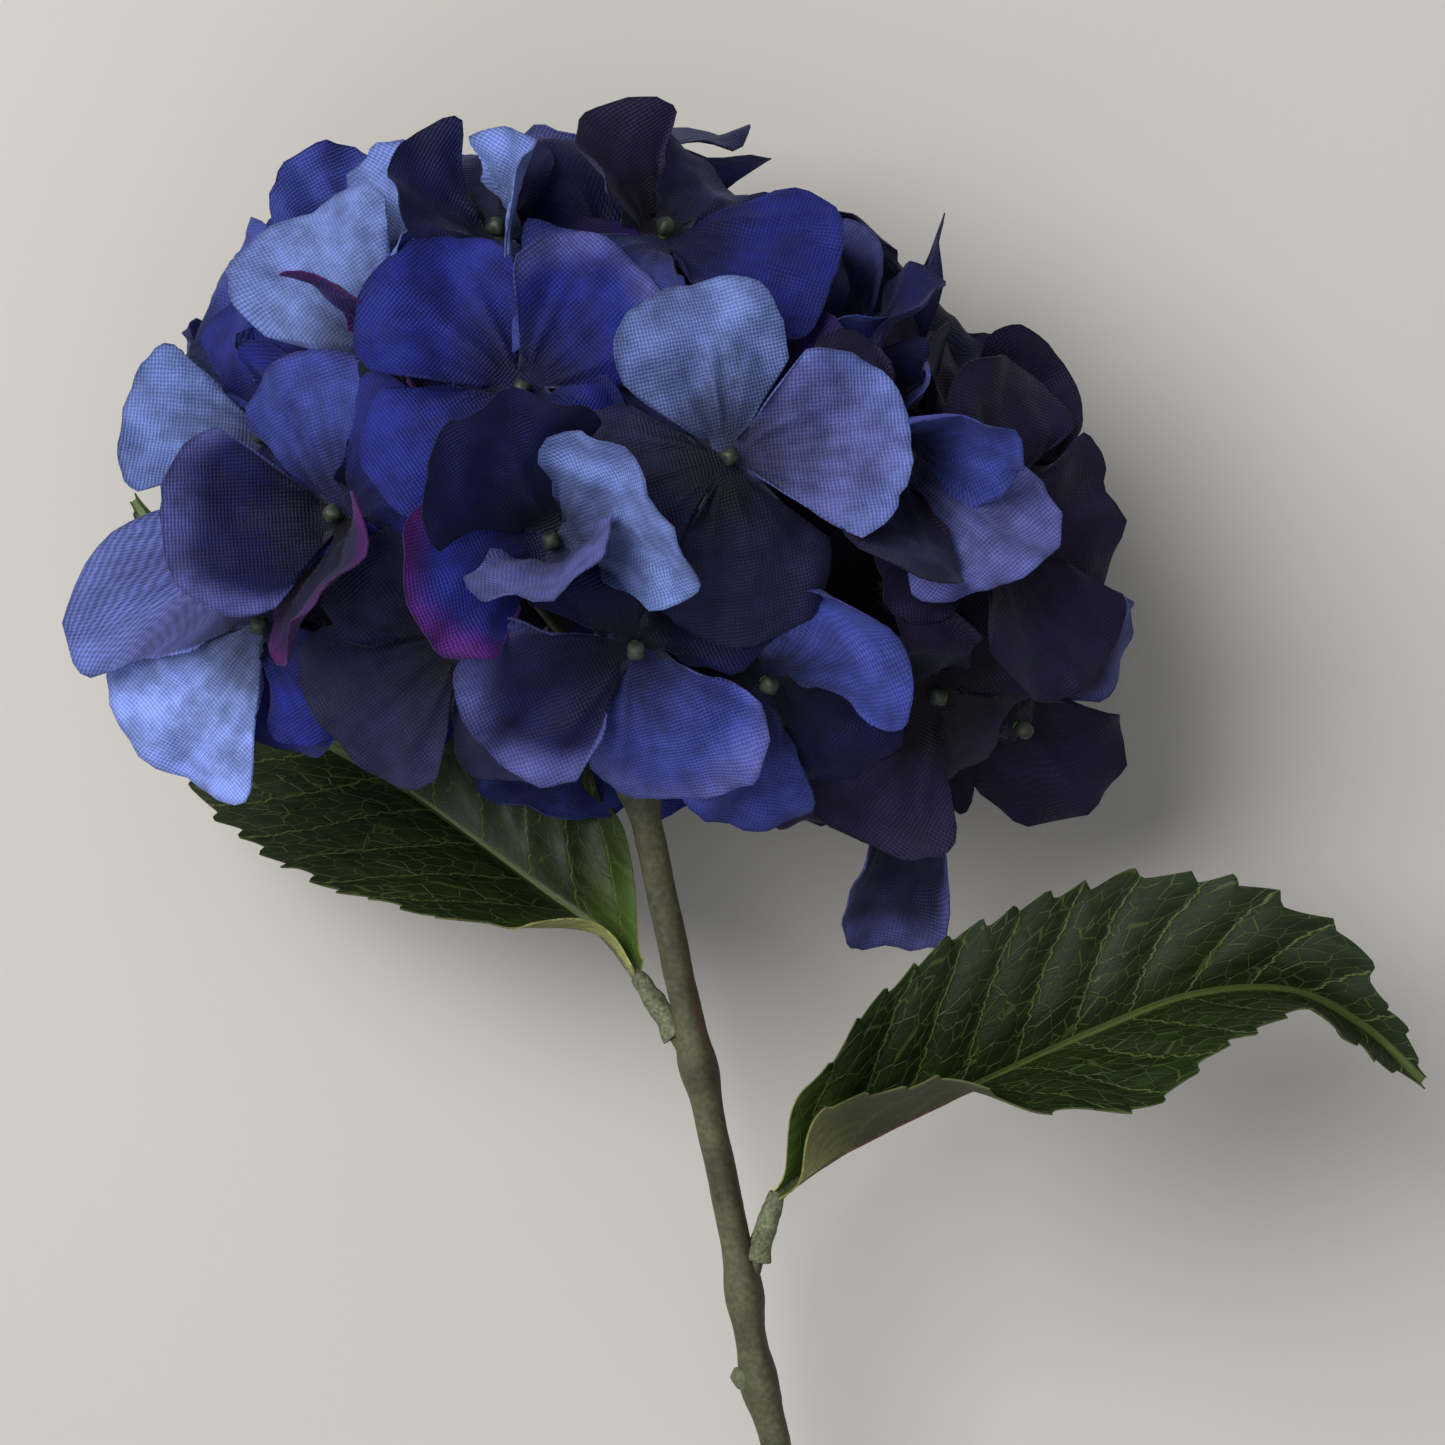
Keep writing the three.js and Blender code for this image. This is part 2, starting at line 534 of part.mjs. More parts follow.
function sprayStart(spray) {
  if (spray === SPRAY_COUNT) return RIM.clone();
  const angle = rad(spray * SPRAY_ANGLE);
  return RIM.clone()
    .addScaledVector(socketFront, STALK_RING * Math.cos(angle))
    .addScaledVector(socketSide, STALK_RING * Math.sin(angle));
}

function sprayFork(spray) {
  if (spray === SPRAY_COUNT) return inHead([0, 0.25, 0]);
  const angle = rad(spray * SPRAY_ANGLE);
  return inHead([FORK_SHARE * Math.sin(angle), -0.1, FORK_SHARE * Math.cos(angle)]);
}

const STALK_STEPS = 6;
const STALK_SIDES = 6;
const KNOB_RADIUS = 1.5;        // where a spray forks
const KNOB_HALF = 1.4;
const PEDICEL_SIDES = 4;
const PEDICEL_BEND = 0.7;       // the pedicel turns to its floret at this share of its length
const STEP_HEIGHT = 0.05;       // the steep step from calyx or bead to the neck between them
const BEAD_FOOT = 0.6;          // the bead's radius at its foot and top, in bead radii
const BEAD_TOP = 0.5;

// A pedicel with its calyx, the neck that passes through the floret, and the bead on top.
function pedicel(floret, fork, spare) {
  const onAxis = (height) => floret.centre.clone().addScaledVector(floret.normal, height);
  const under = CLOTH / 2 + SEAT;
  const calyxFoot = -under - CALYX_LENGTH;
  const beadTop = under + BEAD_RADIUS * 2;
  const path = new THREE.CurvePath();
  path.add(smoothCurve([fork, onAxis(calyxFoot - 2 * CALYX_LENGTH), onAxis(calyxFoot)]));
  path.add(straight(onAxis(calyxFoot), onAxis(beadTop)));
  const bent = path.curves[0].getLength();
  const whole = path.getLength();
  const shareAt = (height) => (bent + height - calyxFoot) / whole;
  const shares = [0, (PEDICEL_BEND * bent) / whole, shareAt(calyxFoot), shareAt(-under + spare),
    shareAt(STEP_HEIGHT - under + spare), shareAt(under - STEP_HEIGHT - spare), shareAt(under - spare),
    shareAt(under + BEAD_RADIUS), 1];
  const radii = [PEDICEL_RADIUS, PEDICEL_RADIUS, PEDICEL_RADIUS, CALYX_RADIUS,
    PEDICEL_RADIUS, PEDICEL_RADIUS, BEAD_RADIUS * BEAD_FOOT, BEAD_RADIUS, BEAD_RADIUS * BEAD_TOP];
  return bar(path, radii.map((radius) => radius + spare), shares, PEDICEL_SIDES);
}

function spraySolid(spray, spare) {
  const start = sprayStart(spray);
  const fork = sprayFork(spray);
  const stalk = bar(
    smoothCurve([
      start.clone().addScaledVector(stemTop, -STALK_GRIP), start,
      start.clone().addScaledVector(stemTop, SOCKET_DEPTH / 2), fork,
    ]),
    () => STALK_RADIUS + spare, STALK_STEPS, STALK_SIDES,
  );
  const knobEnd = (height) => fork.clone().addScaledVector(stemTop, height);
  const knobLine = straight(knobEnd(-KNOB_HALF), knobEnd(KNOB_HALF));
  const knob = bar(knobLine, () => KNOB_RADIUS + spare, 1, STALK_SIDES);
  const pedicels = FLORETS.filter((floret) => sprayOf(floret) === spray)
    .map((floret) => pedicel(floret, fork, spare));
  const whole = join([stalk, knob, ...pedicels]);
  return spare > 0 ? whole : largest(whole);
}

// ---- Leaves ----
// Each leaf: its midrib from the blade's base in shares of the leaf's length, the tilt of its
// upper face about the midrib, and how far each half rises from level, from base to tip.
const RIGHT_LEAF = {
  node: RIGHT_NODE, out: RIGHT_OUT,
  midrib: [
    [0, 0, 0], [0.086, 0.06, 0.032], [0.17, 0.106, 0.056], [0.313, 0.176, 0.079],
    [0.454, 0.242, 0.095], [0.596, 0.294, 0.095], [0.74, 0.298, 0.079], [0.844, 0.246, 0.056],
    [0.934, 0.166, 0.032],
  ],
  nearRise: [80, 118, 105, 75, 62, 70, 80, 60, 20],
  farRise: [60, 42, 28, 20, 16, 15, 20, 20, 5],
};
const LEFT_LEAF = {
  node: LEFT_NODE, out: LEFT_OUT,
  midrib: [
    [0, 0, 0], [-0.04, 0.05, -0.035], [-0.15, 0.13, -0.08], [-0.24, 0.195, -0.11],
    [-0.34, 0.265, -0.14], [-0.545, 0.39, -0.205], [-0.68, 0.565, -0.245], [-0.77, 0.705, -0.27],
  ],
  nearRise: [100, 62, 50, 40, 35, 30, 20, 10, 0],
  farRise: [40, 20, 4, -4, -10, -8, -4, 0, 0],
};
const PETIOLE_END = PEG_ROOT + COLLAR_LENGTH;
const LEAF_OUTLINE = [0.12, 0.7, 0.93, 1, 0.98, 0.9, 0.74, 0.5, 0.2, 0.03];
const LEAF_LEAN = 0.25;         // the halves lean towards the tip near the blade's base
const LEAF_COLUMNS = 4;
const LEAF_ROWS = 10;

function leafLine(leaf) {
  const base = stemCurve.getPointAt(leaf.node).addScaledVector(leaf.out, PETIOLE_END);
  return smoothCurve(leaf.midrib.map(([x, y, z]) => vec(x, y, z).multiplyScalar(LEAF_LENGTH).add(base)));
}

// Unit vectors at a share of the midrib: along it, level to its right, and up.
function leafFrame(line, share) {
  const along = line.getTangentAt(share);
  const right = along.clone().cross(vec(0, 0, 1)).normalize();
  return { along, right, up: right.clone().cross(along) };
}

// The blade's mid surface: v is negative on the half to the right of the midrib.
function leafSurface(leaf, thickness, spare) {
  const line = leafLine(leaf);
  return (u, v) => {
    const share = THREE.MathUtils.clamp(u, 0, 1);
    const { along, right, up } = leafFrame(line, share);
    const isRight = v < 0;
    const rightRises = leaf === RIGHT_LEAF ? leaf.nearRise : leaf.farRise;
    const leftRises = leaf === RIGHT_LEAF ? leaf.farRise : leaf.nearRise;
    const rise = rad(through(isRight ? rightRises : leftRises, share));
    const width = (LEAF_WIDTH / 2) * through(LEAF_OUTLINE, share) + spare;
    const aside = Math.abs(v) * width;
    const point = line.getPointAt(share)
      .addScaledVector(along, (u - share) * LEAF_LENGTH + aside * LEAF_LEAN * (1 - share))
      .addScaledVector(right, (isRight ? 1 : -1) * aside * Math.cos(rise))
      .addScaledVector(up, aside * Math.sin(rise));
    point.z = Math.max(point.z, thickness / 2);
    return point;
  };
}

function bladeSolid(leaf, spare) {
  const thickness = CLOTH + 2 * spare;
  return sheet(leafSurface(leaf, thickness, spare), LEAF_COLUMNS, LEAF_ROWS, thickness);
}

const RIB_REACH = 0.88;         // the rib ends at this share of the blade
const RIB_STEPS = 10;
const RIB_FOOT = 1.5;           // the rib's thickness at the petiole and at its end, in rib radii
const RIB_TIP = 0.7;
const RIB_SIDES = 5;

// The collar, the petiole and the rib that stiffens the blade from below, in one moulding.
function ribSolid(leaf, spare) {
  const line = leafLine(leaf);
  const drop = CLOTH / 2 + GAP + RIB_RADIUS;
  const root = stemCurve.getPointAt(leaf.node);
  const points = [PEG_ROOT + PEG_LENGTH + 2 * GAP, PETIOLE_END - 1].map((reach) => (
    root.clone().addScaledVector(leaf.out, reach)
  ));
  for (let step = 1; step <= RIB_STEPS; step += 1) {
    const share = (RIB_REACH * step) / RIB_STEPS;
    const { up } = leafFrame(line, share);
    points.push(line.getPointAt(share).addScaledVector(up, -drop));
  }
  const ribRadius = (share) => RIB_RADIUS * mix(RIB_FOOT, RIB_TIP, Math.sqrt(share)) + spare;
  const rib = bar(smoothCurve(points), ribRadius, RIB_STEPS + 2, RIB_SIDES);
  const collar = bar(
    pegLine(leaf.node, leaf.out, PEG_ROOT + GAP, PETIOLE_END),
    (share) => mix(PEG_RADIUS + GAP + COLLAR_WALL, RIB_RADIUS * RIB_FOOT, share ** 3) + spare, 4, PEG_SIDES,
  );
  return rib.add(collar);
}

// The collar's bore is the room round the stem's peg.
function leafRib(leaf) {
  return largest(ribSolid(leaf, 0).subtract(bladeSolid(leaf, GAP)).subtract(stemSolid(GAP)));
}

// ---- Assembly ----
const hydrangea = new THREE.Group();
hydrangea.name = 'artificial_hydrangea_stem';

function place(name, solid, material) {
  const geometry = geometryFrom(solid);
  geometry.computeVertexNormals();
  const mesh = new THREE.Mesh(geometry, material);
  mesh.name = name;
  hydrangea.add(mesh);
}

place('stem', stem(), STEM_GREEN);
place('stem_wire', wire(), STEEL);

let taken = stemSolid(GAP);
for (const [side, leaf] of [['left', LEFT_LEAF], ['right', RIGHT_LEAF]]) {
  place(`leaf_blade_${side}`, bladeSolid(leaf, 0), LEAF_GREEN);
  place(`leaf_rib_${side}`, leafRib(leaf), RIB_GREEN);
  taken = join([taken, bladeSolid(leaf, GAP), ribSolid(leaf, GAP)]);
}

for (let spray = 0; spray <= SPRAY_COUNT; spray += 1) {
  place(`spray_${spray + 1}`, spraySolid(spray, 0), SPRAY_GREEN);
  taken = taken.add(spraySolid(spray, GAP));
}

FLORETS.forEach((floret, index) => {
  const number = String(index + 1).padStart(2, '0');
  const whole = floretSolid(floret);
  place(`floret_${number}`, largest(whole.subtract(taken)), BLUES[floret.hue]);
  taken = join([taken, whole, ...floretRoom(floret)]);
});

// The part's origin is the middle of its footprint on the table.
const box = new THREE.Box3().setFromObject(hydrangea);
hydrangea.position.set(-(box.min.x + box.max.x) / 2, -(box.min.y + box.max.y) / 2, -box.min.z);

export default hydrangea;
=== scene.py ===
"""Looks of a cut stem of artificial hydrangea lying on a table: cloth florets, moulded sprays and
stem, and two cloth leaves. Shapes are worked out in millimetres in the head's own frame (x to the
right, y away from the stem, z up from the table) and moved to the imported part's frame in metres."""

import math

import bpy
import numpy as np
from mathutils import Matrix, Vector
from mathutils.bvhtree import BVHTree


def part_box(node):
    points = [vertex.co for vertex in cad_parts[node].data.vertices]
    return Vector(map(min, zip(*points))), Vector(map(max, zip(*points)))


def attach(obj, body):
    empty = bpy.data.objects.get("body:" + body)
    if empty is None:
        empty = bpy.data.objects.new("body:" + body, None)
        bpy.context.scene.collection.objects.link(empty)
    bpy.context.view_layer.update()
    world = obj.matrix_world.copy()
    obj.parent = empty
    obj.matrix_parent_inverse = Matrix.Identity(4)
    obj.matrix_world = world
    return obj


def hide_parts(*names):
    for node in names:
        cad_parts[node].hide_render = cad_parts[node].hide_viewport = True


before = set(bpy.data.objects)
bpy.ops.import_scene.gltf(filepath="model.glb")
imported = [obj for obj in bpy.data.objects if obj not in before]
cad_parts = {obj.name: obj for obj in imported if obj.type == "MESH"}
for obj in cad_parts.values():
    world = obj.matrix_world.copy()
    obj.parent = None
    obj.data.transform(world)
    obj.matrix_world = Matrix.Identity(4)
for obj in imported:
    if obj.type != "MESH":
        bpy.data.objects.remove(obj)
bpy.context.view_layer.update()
MM = 0.001

# ---- Driving sizes, as the part has them ----
HEAD_WIDTH, HEAD_HEIGHT, HEAD_DEPTH = 180, 128, 136
STEM_LENGTH = 342
STEM_RADIUS = 3.0
WIRE_RADIUS = 1.2
LEAF_LENGTH, LEAF_WIDTH = 126, 58
PETAL_LENGTH, PETAL_WIDTH = 29, 30
STALK_RADIUS, STALK_RING = 0.9, 2.3
SOCKET_DEPTH, SOCKET_WALL, SOCKET_DROP = 8, 1.0, 43
PEG_START, PEG_ROOT, PEG_LENGTH, PEG_RADIUS = 1.2, 7, 9, 0.95
COLLAR_WALL, COLLAR_LENGTH = 0.75, 13
GAP = 0.3  # between pieces that fit into each other
RIB_RADIUS = 0.9
NODE_SWELLING = 0.9
PEDICEL_RADIUS, BEAD_RADIUS, CALYX_RADIUS, CALYX_LENGTH = 0.8, 1.6, 2.4, 4
SEAT_RADIUS, NOTCH_RADIUS, HOLE_RADIUS = 2.8, 4.2, 1.0
CLOTH = 0.26  # the real cloth, thinner than its stand-in solid
HALF = np.array([HEAD_WIDTH / 2, HEAD_HEIGHT / 2, HEAD_DEPTH / 2])
CENTRE = np.array([0, 0, HALF[2]])


# ---- Small helpers ----
def unit(v):
    v = np.asarray(v, float)
    return v / np.maximum(np.linalg.norm(v, axis=-1, keepdims=True), 1e-9)


def mix(a, b, share):
    return a + (b - a) * share


def smooth(low, high, value):
    share = np.clip((value - low) / (high - low), 0, 1)
    return share * share * (3 - 2 * share)


def through(values, share):
    """A value that passes smoothly through evenly spaced ones as share goes from 0 to 1."""
    place = np.clip(share, 0, 1) * (len(values) - 1)
    first = np.minimum(place.astype(int), len(values) - 2)
    values = np.asarray(values, float)
    return mix(values[first], values[first + 1], smooth(0, 1, place - first))


def ripple(rng, *where, scale, waves=5):
    """A smooth random height from -1 to 1 over the given coordinates, its waves about scale long."""
    total = 0
    for _ in range(waves):
        turn = rng.uniform(0, 2 * math.pi, len(where))
        pitch = rng.uniform(0.7, 1.5) * 2 * math.pi / scale
        wave = 1
        for spot, phase in zip(where, turn):
            wave = wave * np.sin(spot * pitch * rng.uniform(0.5, 1) + phase)
        total = total + wave
    return total / waves * 1.6


def facing(yaw, pitch):
    yaw, pitch = math.radians(yaw), math.radians(pitch)
    return np.array([math.sin(yaw) * math.cos(pitch), math.sin(pitch), math.cos(yaw) * math.cos(pitch)])


def in_head(share):
    return np.array(share) * HALF + CENTRE


class Line:
    """A smooth line through points (centripetal Catmull-Rom), measured by its length."""

    def __init__(self, points, samples=40, straight=False):
        p = np.asarray(points, float)
        if not straight:
            p = self.fill(np.vstack([2 * p[0] - p[1], p, 2 * p[-1] - p[-2]]), samples)
        self.points = p
        self.reached = np.r_[0, np.cumsum(np.linalg.norm(np.diff(p, axis=0), axis=1))]
        self.length = self.reached[-1]

    @staticmethod
    def fill(p, samples):
        out = [p[1]]
        for i in range(1, len(p) - 2):
            a, b, c, d = p[i - 1:i + 3]
            pairs = ((a, b), (b, c), (c, d))
            t = np.cumsum([0] + [max(np.linalg.norm(y - x), 1e-6) ** 0.5 for x, y in pairs])
            s = np.linspace(t[1], t[2], samples + 1)[1:, None]
            ab, bc, cd = (mix(x, y, (s - t[k]) / (t[k + 1] - t[k])) for k, (x, y) in enumerate(pairs))
            abc = mix(ab, bc, (s - t[0]) / (t[2] - t[0]))
            bcd = mix(bc, cd, (s - t[1]) / (t[3] - t[1]))
            out.extend(mix(abc, bcd, (s - t[1]) / (t[2] - t[1])))
        return np.array(out)

    def at(self, share):
        reach = np.clip(share, 0, 1) * self.length
        return np.stack([np.interp(reach, self.reached, self.points[:, k]) for k in range(3)], -1)

    def tangent(self, share):
        step = 0.004
        share = np.asarray(share, float)
        return unit(self.at(np.clip(share + step, 0, 1)) - self.at(np.clip(share - step, 0, 1)))


def straight(foot, way, low, high):
    """A straight line along way, from low to high past foot."""
    return Line([foot + way * low, foot + way * high], straight=True)


def circle(across, other, count):
    """Directions round a circle, and their angles."""
    angle = np.arange(count) * 2 * math.pi / count
    return across * np.cos(angle)[:, None] + other * np.sin(angle)[:, None], angle


def add_object(name, data):
    made = bpy.data.objects.new(name, data)
    bpy.context.scene.collection.objects.link(made)
    return made


# ---- Meshes ----
class Shape:
    """Vertices, faces, flat coordinates, tints and materials of a piece as it is being put together."""

    def __init__(self):
        self.points, self.faces, self.flat, self.tint, self.slots = [], [], [], [], []
        self.count = 0

    def add(self, points, faces, tint, flat=None, slot=0):
        points = np.asarray(points, float).reshape(-1, 3)
        flat = points[:, :2] if flat is None else np.asarray(flat, float).reshape(-1, 2)
        self.points.append(points)
        self.flat.append(flat)
        self.tint.append(np.broadcast_to(np.asarray(tint, float).reshape(-1, 3), points.shape))
        self.faces += [tuple(int(i) + self.count for i in face) for face in faces]
        self.slots += [slot] * len(faces)
        self.count += len(points)

    def piece(self, name, materials, cad_node, sharp=50):
        points = (np.vstack(self.points) + SHIFT) * MM
        mesh = bpy.data.meshes.new(name)
        mesh.from_pydata(points.tolist(), [], self.faces)
        corners = np.zeros(len(mesh.loops), np.int32)
        mesh.loops.foreach_get("vertex_index", corners)
        layer = mesh.uv_layers.new(name="flat")
        layer.data.foreach_set("uv", np.vstack(self.flat)[corners].astype(np.float32).ravel())
        tint = mesh.attributes.new("tint", "FLOAT_COLOR", "POINT")
        colours = np.hstack([np.vstack(self.tint), np.ones((len(points), 1))])
        tint.data.foreach_set("color", colours.astype(np.float32).ravel())
        for material in materials:
            mesh.materials.append(material)
        mesh.polygons.foreach_set("material_index", np.array(self.slots, np.int32))
        mesh.shade_smooth()
        mesh.set_sharp_from_angle(angle=math.radians(sharp))
        mesh.validate()
        mesh.update()
        made = add_object(name, mesh)
        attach(made, "root")
        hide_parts(cad_node)
        return made


def grid_faces(rows, columns, closed=False, flip=False):
    faces = []
    for i in range(rows - 1):
        for j in range(columns if closed else columns - 1):
            k = (j + 1) % columns
            face = (i * columns + j, (i + 1) * columns + j, (i + 1) * columns + k, i * columns + k)
            faces.append(face[::-1] if flip else face)
    return faces


def grid_normals(grid, closed):
    """Unit normals of a grid of points, its columns joined round if closed."""
    down = np.gradient(grid, axis=0)
    if closed:
        across = np.roll(grid, -1, axis=1) - np.roll(grid, 1, axis=1)
    else:
        across = np.gradient(grid, axis=1)
    return unit(np.cross(down, across))


def add_sheet(shape, grid, tint, flat, thickness, closed=False, slots=(0, 0)):
    """Cloth round a mid surface: two faces and the cut edge between them."""
    rows, columns = grid.shape[:2]
    normals = grid_normals(grid, closed)
    upper = grid + normals * thickness / 2
    lower = grid - normals * thickness / 2
    shape.add(upper, grid_faces(rows, columns, closed), tint, flat, slots[0])
    shape.add(lower, grid_faces(rows, columns, closed, flip=True), tint, flat, slots[1])
    index = np.arange(rows * columns).reshape(rows, columns)
    rims = [index[-1], index[0][::-1]] if closed else [
        np.r_[index[0][::-1], index[1:, 0], index[-1][1:], index[-2:0:-1, -1]]]
    for rim in rims:
        points = np.vstack([upper.reshape(-1, 3)[rim], lower.reshape(-1, 3)[rim]])
        tints = np.tile(tint.reshape(-1, 3)[rim], (2, 1))
        flats = np.tile(flat.reshape(-1, 2)[rim], (2, 1))
        n = len(rim)
        edge = [(k, n + k, n + (k + 1) % n, (k + 1) % n) for k in range(n)]
        shape.add(points, edge, tints, flats, slots[1])


def add_bar(shape, line, radius, tint, rings, sides, start=0.0, lumps=None):
    """A round bar along a line, with closed ends. radius(share) may be a number, tint(share, ring) a
    colour. start is the share of the line where it begins, and lumps(length, angle) are added."""
    shares = np.linspace(start, 1, rings)
    spots, along = line.at(shares), line.tangent(shares)
    across = np.cross([0, 0, 1], along[0])
    if np.linalg.norm(across) < 0.1:
        across = np.cross([0, 1, 0], along[0])
    frames = []
    for way in along:
        across = unit(across - way * np.dot(across, way))
        frames.append((across, np.cross(way, across)))
    side, up = (np.array([f[k] for f in frames])[:, None, :] for k in (0, 1))
    ring, angle = circle(side, up, sides)
    reach = (radius(shares) if callable(radius) else radius * np.ones(rings))[:, None] * np.ones(sides)
    if lumps is not None:
        reach = reach + lumps(shares[:, None] * line.length, angle[None, :])
    points = spots[:, None, :] + ring * reach[..., None]
    if callable(tint):
        tint = tint(shares[:, None] + 0 * angle[None, :], ring).reshape(-1, 3)
    faces = grid_faces(rings, sides, closed=True)
    faces += [tuple(range(sides)), tuple((rings - 1) * sides + k for k in range(sides))[::-1]]
    flat = np.stack([np.broadcast_to(angle * 3, (rings, sides)),
                     np.broadcast_to(shares[:, None] * line.length, (rings, sides))], -1)
    shape.add(points, [face[::-1] for face in faces], tint, flat)


# ---- Procedural materials ----
def started(name):
    """A new material and its empty node tree."""
    material = bpy.data.materials.new(name)
    material.use_nodes = True
    material.node_tree.nodes.clear()
    return material, material.node_tree


def feed(tree, socket, value):
    """Sets a socket to another node's output, a number, a vector or a colour."""
    if isinstance(value, bpy.types.NodeSocket):
        tree.links.new(value, socket)
    elif socket.type == "RGBA":
        socket.default_value = (*value[:3], 1)
    else:
        socket.default_value = value


def node(tree, kind, **values):
    made = tree.nodes.new(kind)
    for name, value in values.items():
        if hasattr(made, name):
            setattr(made, name, value)
        else:
            feed(tree, made.inputs[name.replace("_", " ")], value)
    return made


def maths(tree, operation, *inputs):
    made = node(tree, "ShaderNodeMath", operation=operation)
    for socket, value in zip(made.inputs, inputs):
        feed(tree, socket, value)
    return made.outputs[0]


def times(tree, first, second):
    return maths(tree, "MULTIPLY", first, second)


def ramp(tree, value, low, high, to_low=0.0, to_high=1.0):
    made = node(tree, "ShaderNodeMapRange", interpolation_type="SMOOTHSTEP", Value=value,
                From_Min=low, From_Max=high, To_Min=to_low, To_Max=to_high)
    return made.outputs[0]


def blend_colour(tree, share, first, second, mode="MIX"):
    made = node(tree, "ShaderNodeMix", data_type="RGBA", blend_type=mode)
    for index, value in ((0, share), (6, first), (7, second)):
        feed(tree, made.inputs[index], value)
    return made.outputs[2]


def scaled(tree, colour, by):
    return node(tree, "ShaderNodeVectorMath", operation="SCALE", Vector=colour, Scale=by).outputs[0]


def noise(tree, vector, scale, detail=3.0, roughness=0.5):
    made = node(tree, "ShaderNodeTexNoise", Vector=vector, Scale=scale, Detail=detail, Roughness=roughness)
    return made.outputs["Fac"]


def surface(tree, colour, roughness, height, depth, **values):
    """A Principled surface with a bump of the given height map, depth millimetres deep."""
    bump = node(tree, "ShaderNodeBump", Strength=1.0, Distance=depth * MM, Height=height)
    return node(tree, "ShaderNodeBsdfPrincipled", Base_Color=colour, Roughness=roughness,
                Normal=bump.outputs[0], **values)


def finish_material(tree, shader, glow_colour=None, glow=0.0):
    """Sends the shader out, with a share of light let through cloth if glow is over 0."""
    out = node(tree, "ShaderNodeOutputMaterial")
    if glow:
        through_cloth = node(tree, "ShaderNodeBsdfTranslucent", Color=glow_colour)
        both = node(tree, "ShaderNodeMixShader", Fac=glow)
        for index, light in enumerate((shader, through_cloth), 1):
            tree.links.new(light.outputs[0], both.inputs[index])
        shader = both
    tree.links.new(shader.outputs[0], out.inputs[0])


def flat_coordinates(tree):
    flat = node(tree, "ShaderNodeUVMap", uv_map="flat").outputs[0]
    parts = node(tree, "ShaderNodeSeparateXYZ", Vector=flat)
    return flat, parts.outputs[0], parts.outputs[1]


def place_on(tree):
    return node(tree, "ShaderNodeTexCoord").outputs["Object"]


def tint_of(tree):
    return node(tree, "ShaderNodeAttribute", attribute_name="tint").outputs["Color"]


WEAVE_PITCH = 0.62  # from thread to thread, in millimetres


def petal_cloth():
    """Woven polyester: threads both ways, dye that is a little uneven, soft sheen, some glow."""
    material, tree = started("petal_cloth")
    flat, along, across = flat_coordinates(tree)
    wobble = noise(tree, flat, 0.5, 2)
    threads = []
    for way in (along, across):
        bent = maths(tree, "MULTIPLY_ADD", wobble, 0.5, way)
        threads.append(maths(tree, "SINE", times(tree, bent, 2 * math.pi / WEAVE_PITCH)))
    weave = maths(tree, "ADD", times(tree, threads[1], 0.35), times(tree, threads[0], 0.5))
    dye = noise(tree, flat, 0.16, 4, 0.6)
    fuzz = noise(tree, flat, 2.2, 3)
    grey = times(tree, ramp(tree, weave, -0.8, 0.8, 0.7, 1.28), ramp(tree, dye, 0.3, 0.7, 0.7, 1.32))
    colour = scaled(tree, tint_of(tree), grey)
    height = maths(tree, "ADD", weave, times(tree, fuzz, 0.8))
    shader = surface(tree, colour, 0.62, height, 0.08, Specular_IOR_Level=0.25, Sheen_Weight=0.16,
                     Sheen_Roughness=0.45, Sheen_Tint=(0.55, 0.6, 1.0))
    finish_material(tree, shader, colour, 0.3)
    return material


VEIN_GAP = 10.5  # between side veins where they leave a leaf's midrib


def leaf_cloth(name, blade, vein, roughness, coat, glow):
    """Coated leaf cloth. Its flat coordinates are side veins counted along, and millimetres across."""
    material, tree = started(name)
    flat, count, aside = flat_coordinates(tree)
    wobble = times(tree, maths(tree, "SUBTRACT", noise(tree, flat, 0.7, 2), 0.5), 0.25)
    place = maths(tree, "FRACT", maths(tree, "ADD", count, wobble))
    from_vein = times(tree, maths(tree, "ABSOLUTE", maths(tree, "SUBTRACT", place, 0.5)), VEIN_GAP)
    side_vein = ramp(tree, from_vein, 0.08, 0.4, 1, 0)
    midrib = ramp(tree, maths(tree, "ABSOLUTE", aside), 0.4, 1.0, 1, 0)
    cells = node(tree, "ShaderNodeMapping", Vector=flat, Scale=(VEIN_GAP * 0.36, 0.3, 1))
    net = node(tree, "ShaderNodeTexVoronoi", feature="DISTANCE_TO_EDGE", Vector=cells.outputs[0],
               Scale=1.0, Randomness=0.9).outputs["Distance"]
    net_vein = ramp(tree, net, 0.008, 0.04, 1, 0)
    strongest = maths(tree, "MAXIMUM", maths(tree, "MAXIMUM", side_vein, midrib),
                      times(tree, net_vein, 0.5))
    patch = noise(tree, flat, 0.5, 4)
    dark = tuple(c * 0.55 for c in blade)
    base = blend_colour(tree, ramp(tree, patch, 0.3, 0.7), dark, blade)
    lit = blend_colour(tree, 1.0, base, tint_of(tree), "MULTIPLY")
    colour = blend_colour(tree, times(tree, strongest, 0.6), lit, vein)
    grain = noise(tree, flat, 6.0, 2)
    height = maths(tree, "ADD", times(tree, strongest, 0.9),
                   times(tree, maths(tree, "ADD", grain, net), 0.45))
    rough = ramp(tree, patch, 0.2, 0.8, roughness * 0.85, min(roughness * 1.2, 1))
    shader = surface(tree, colour, rough, height, 0.22, Specular_IOR_Level=0.25, Coat_Weight=coat,
                     Coat_Roughness=0.3)
    finish_material(tree, shader, colour, glow)
    return material


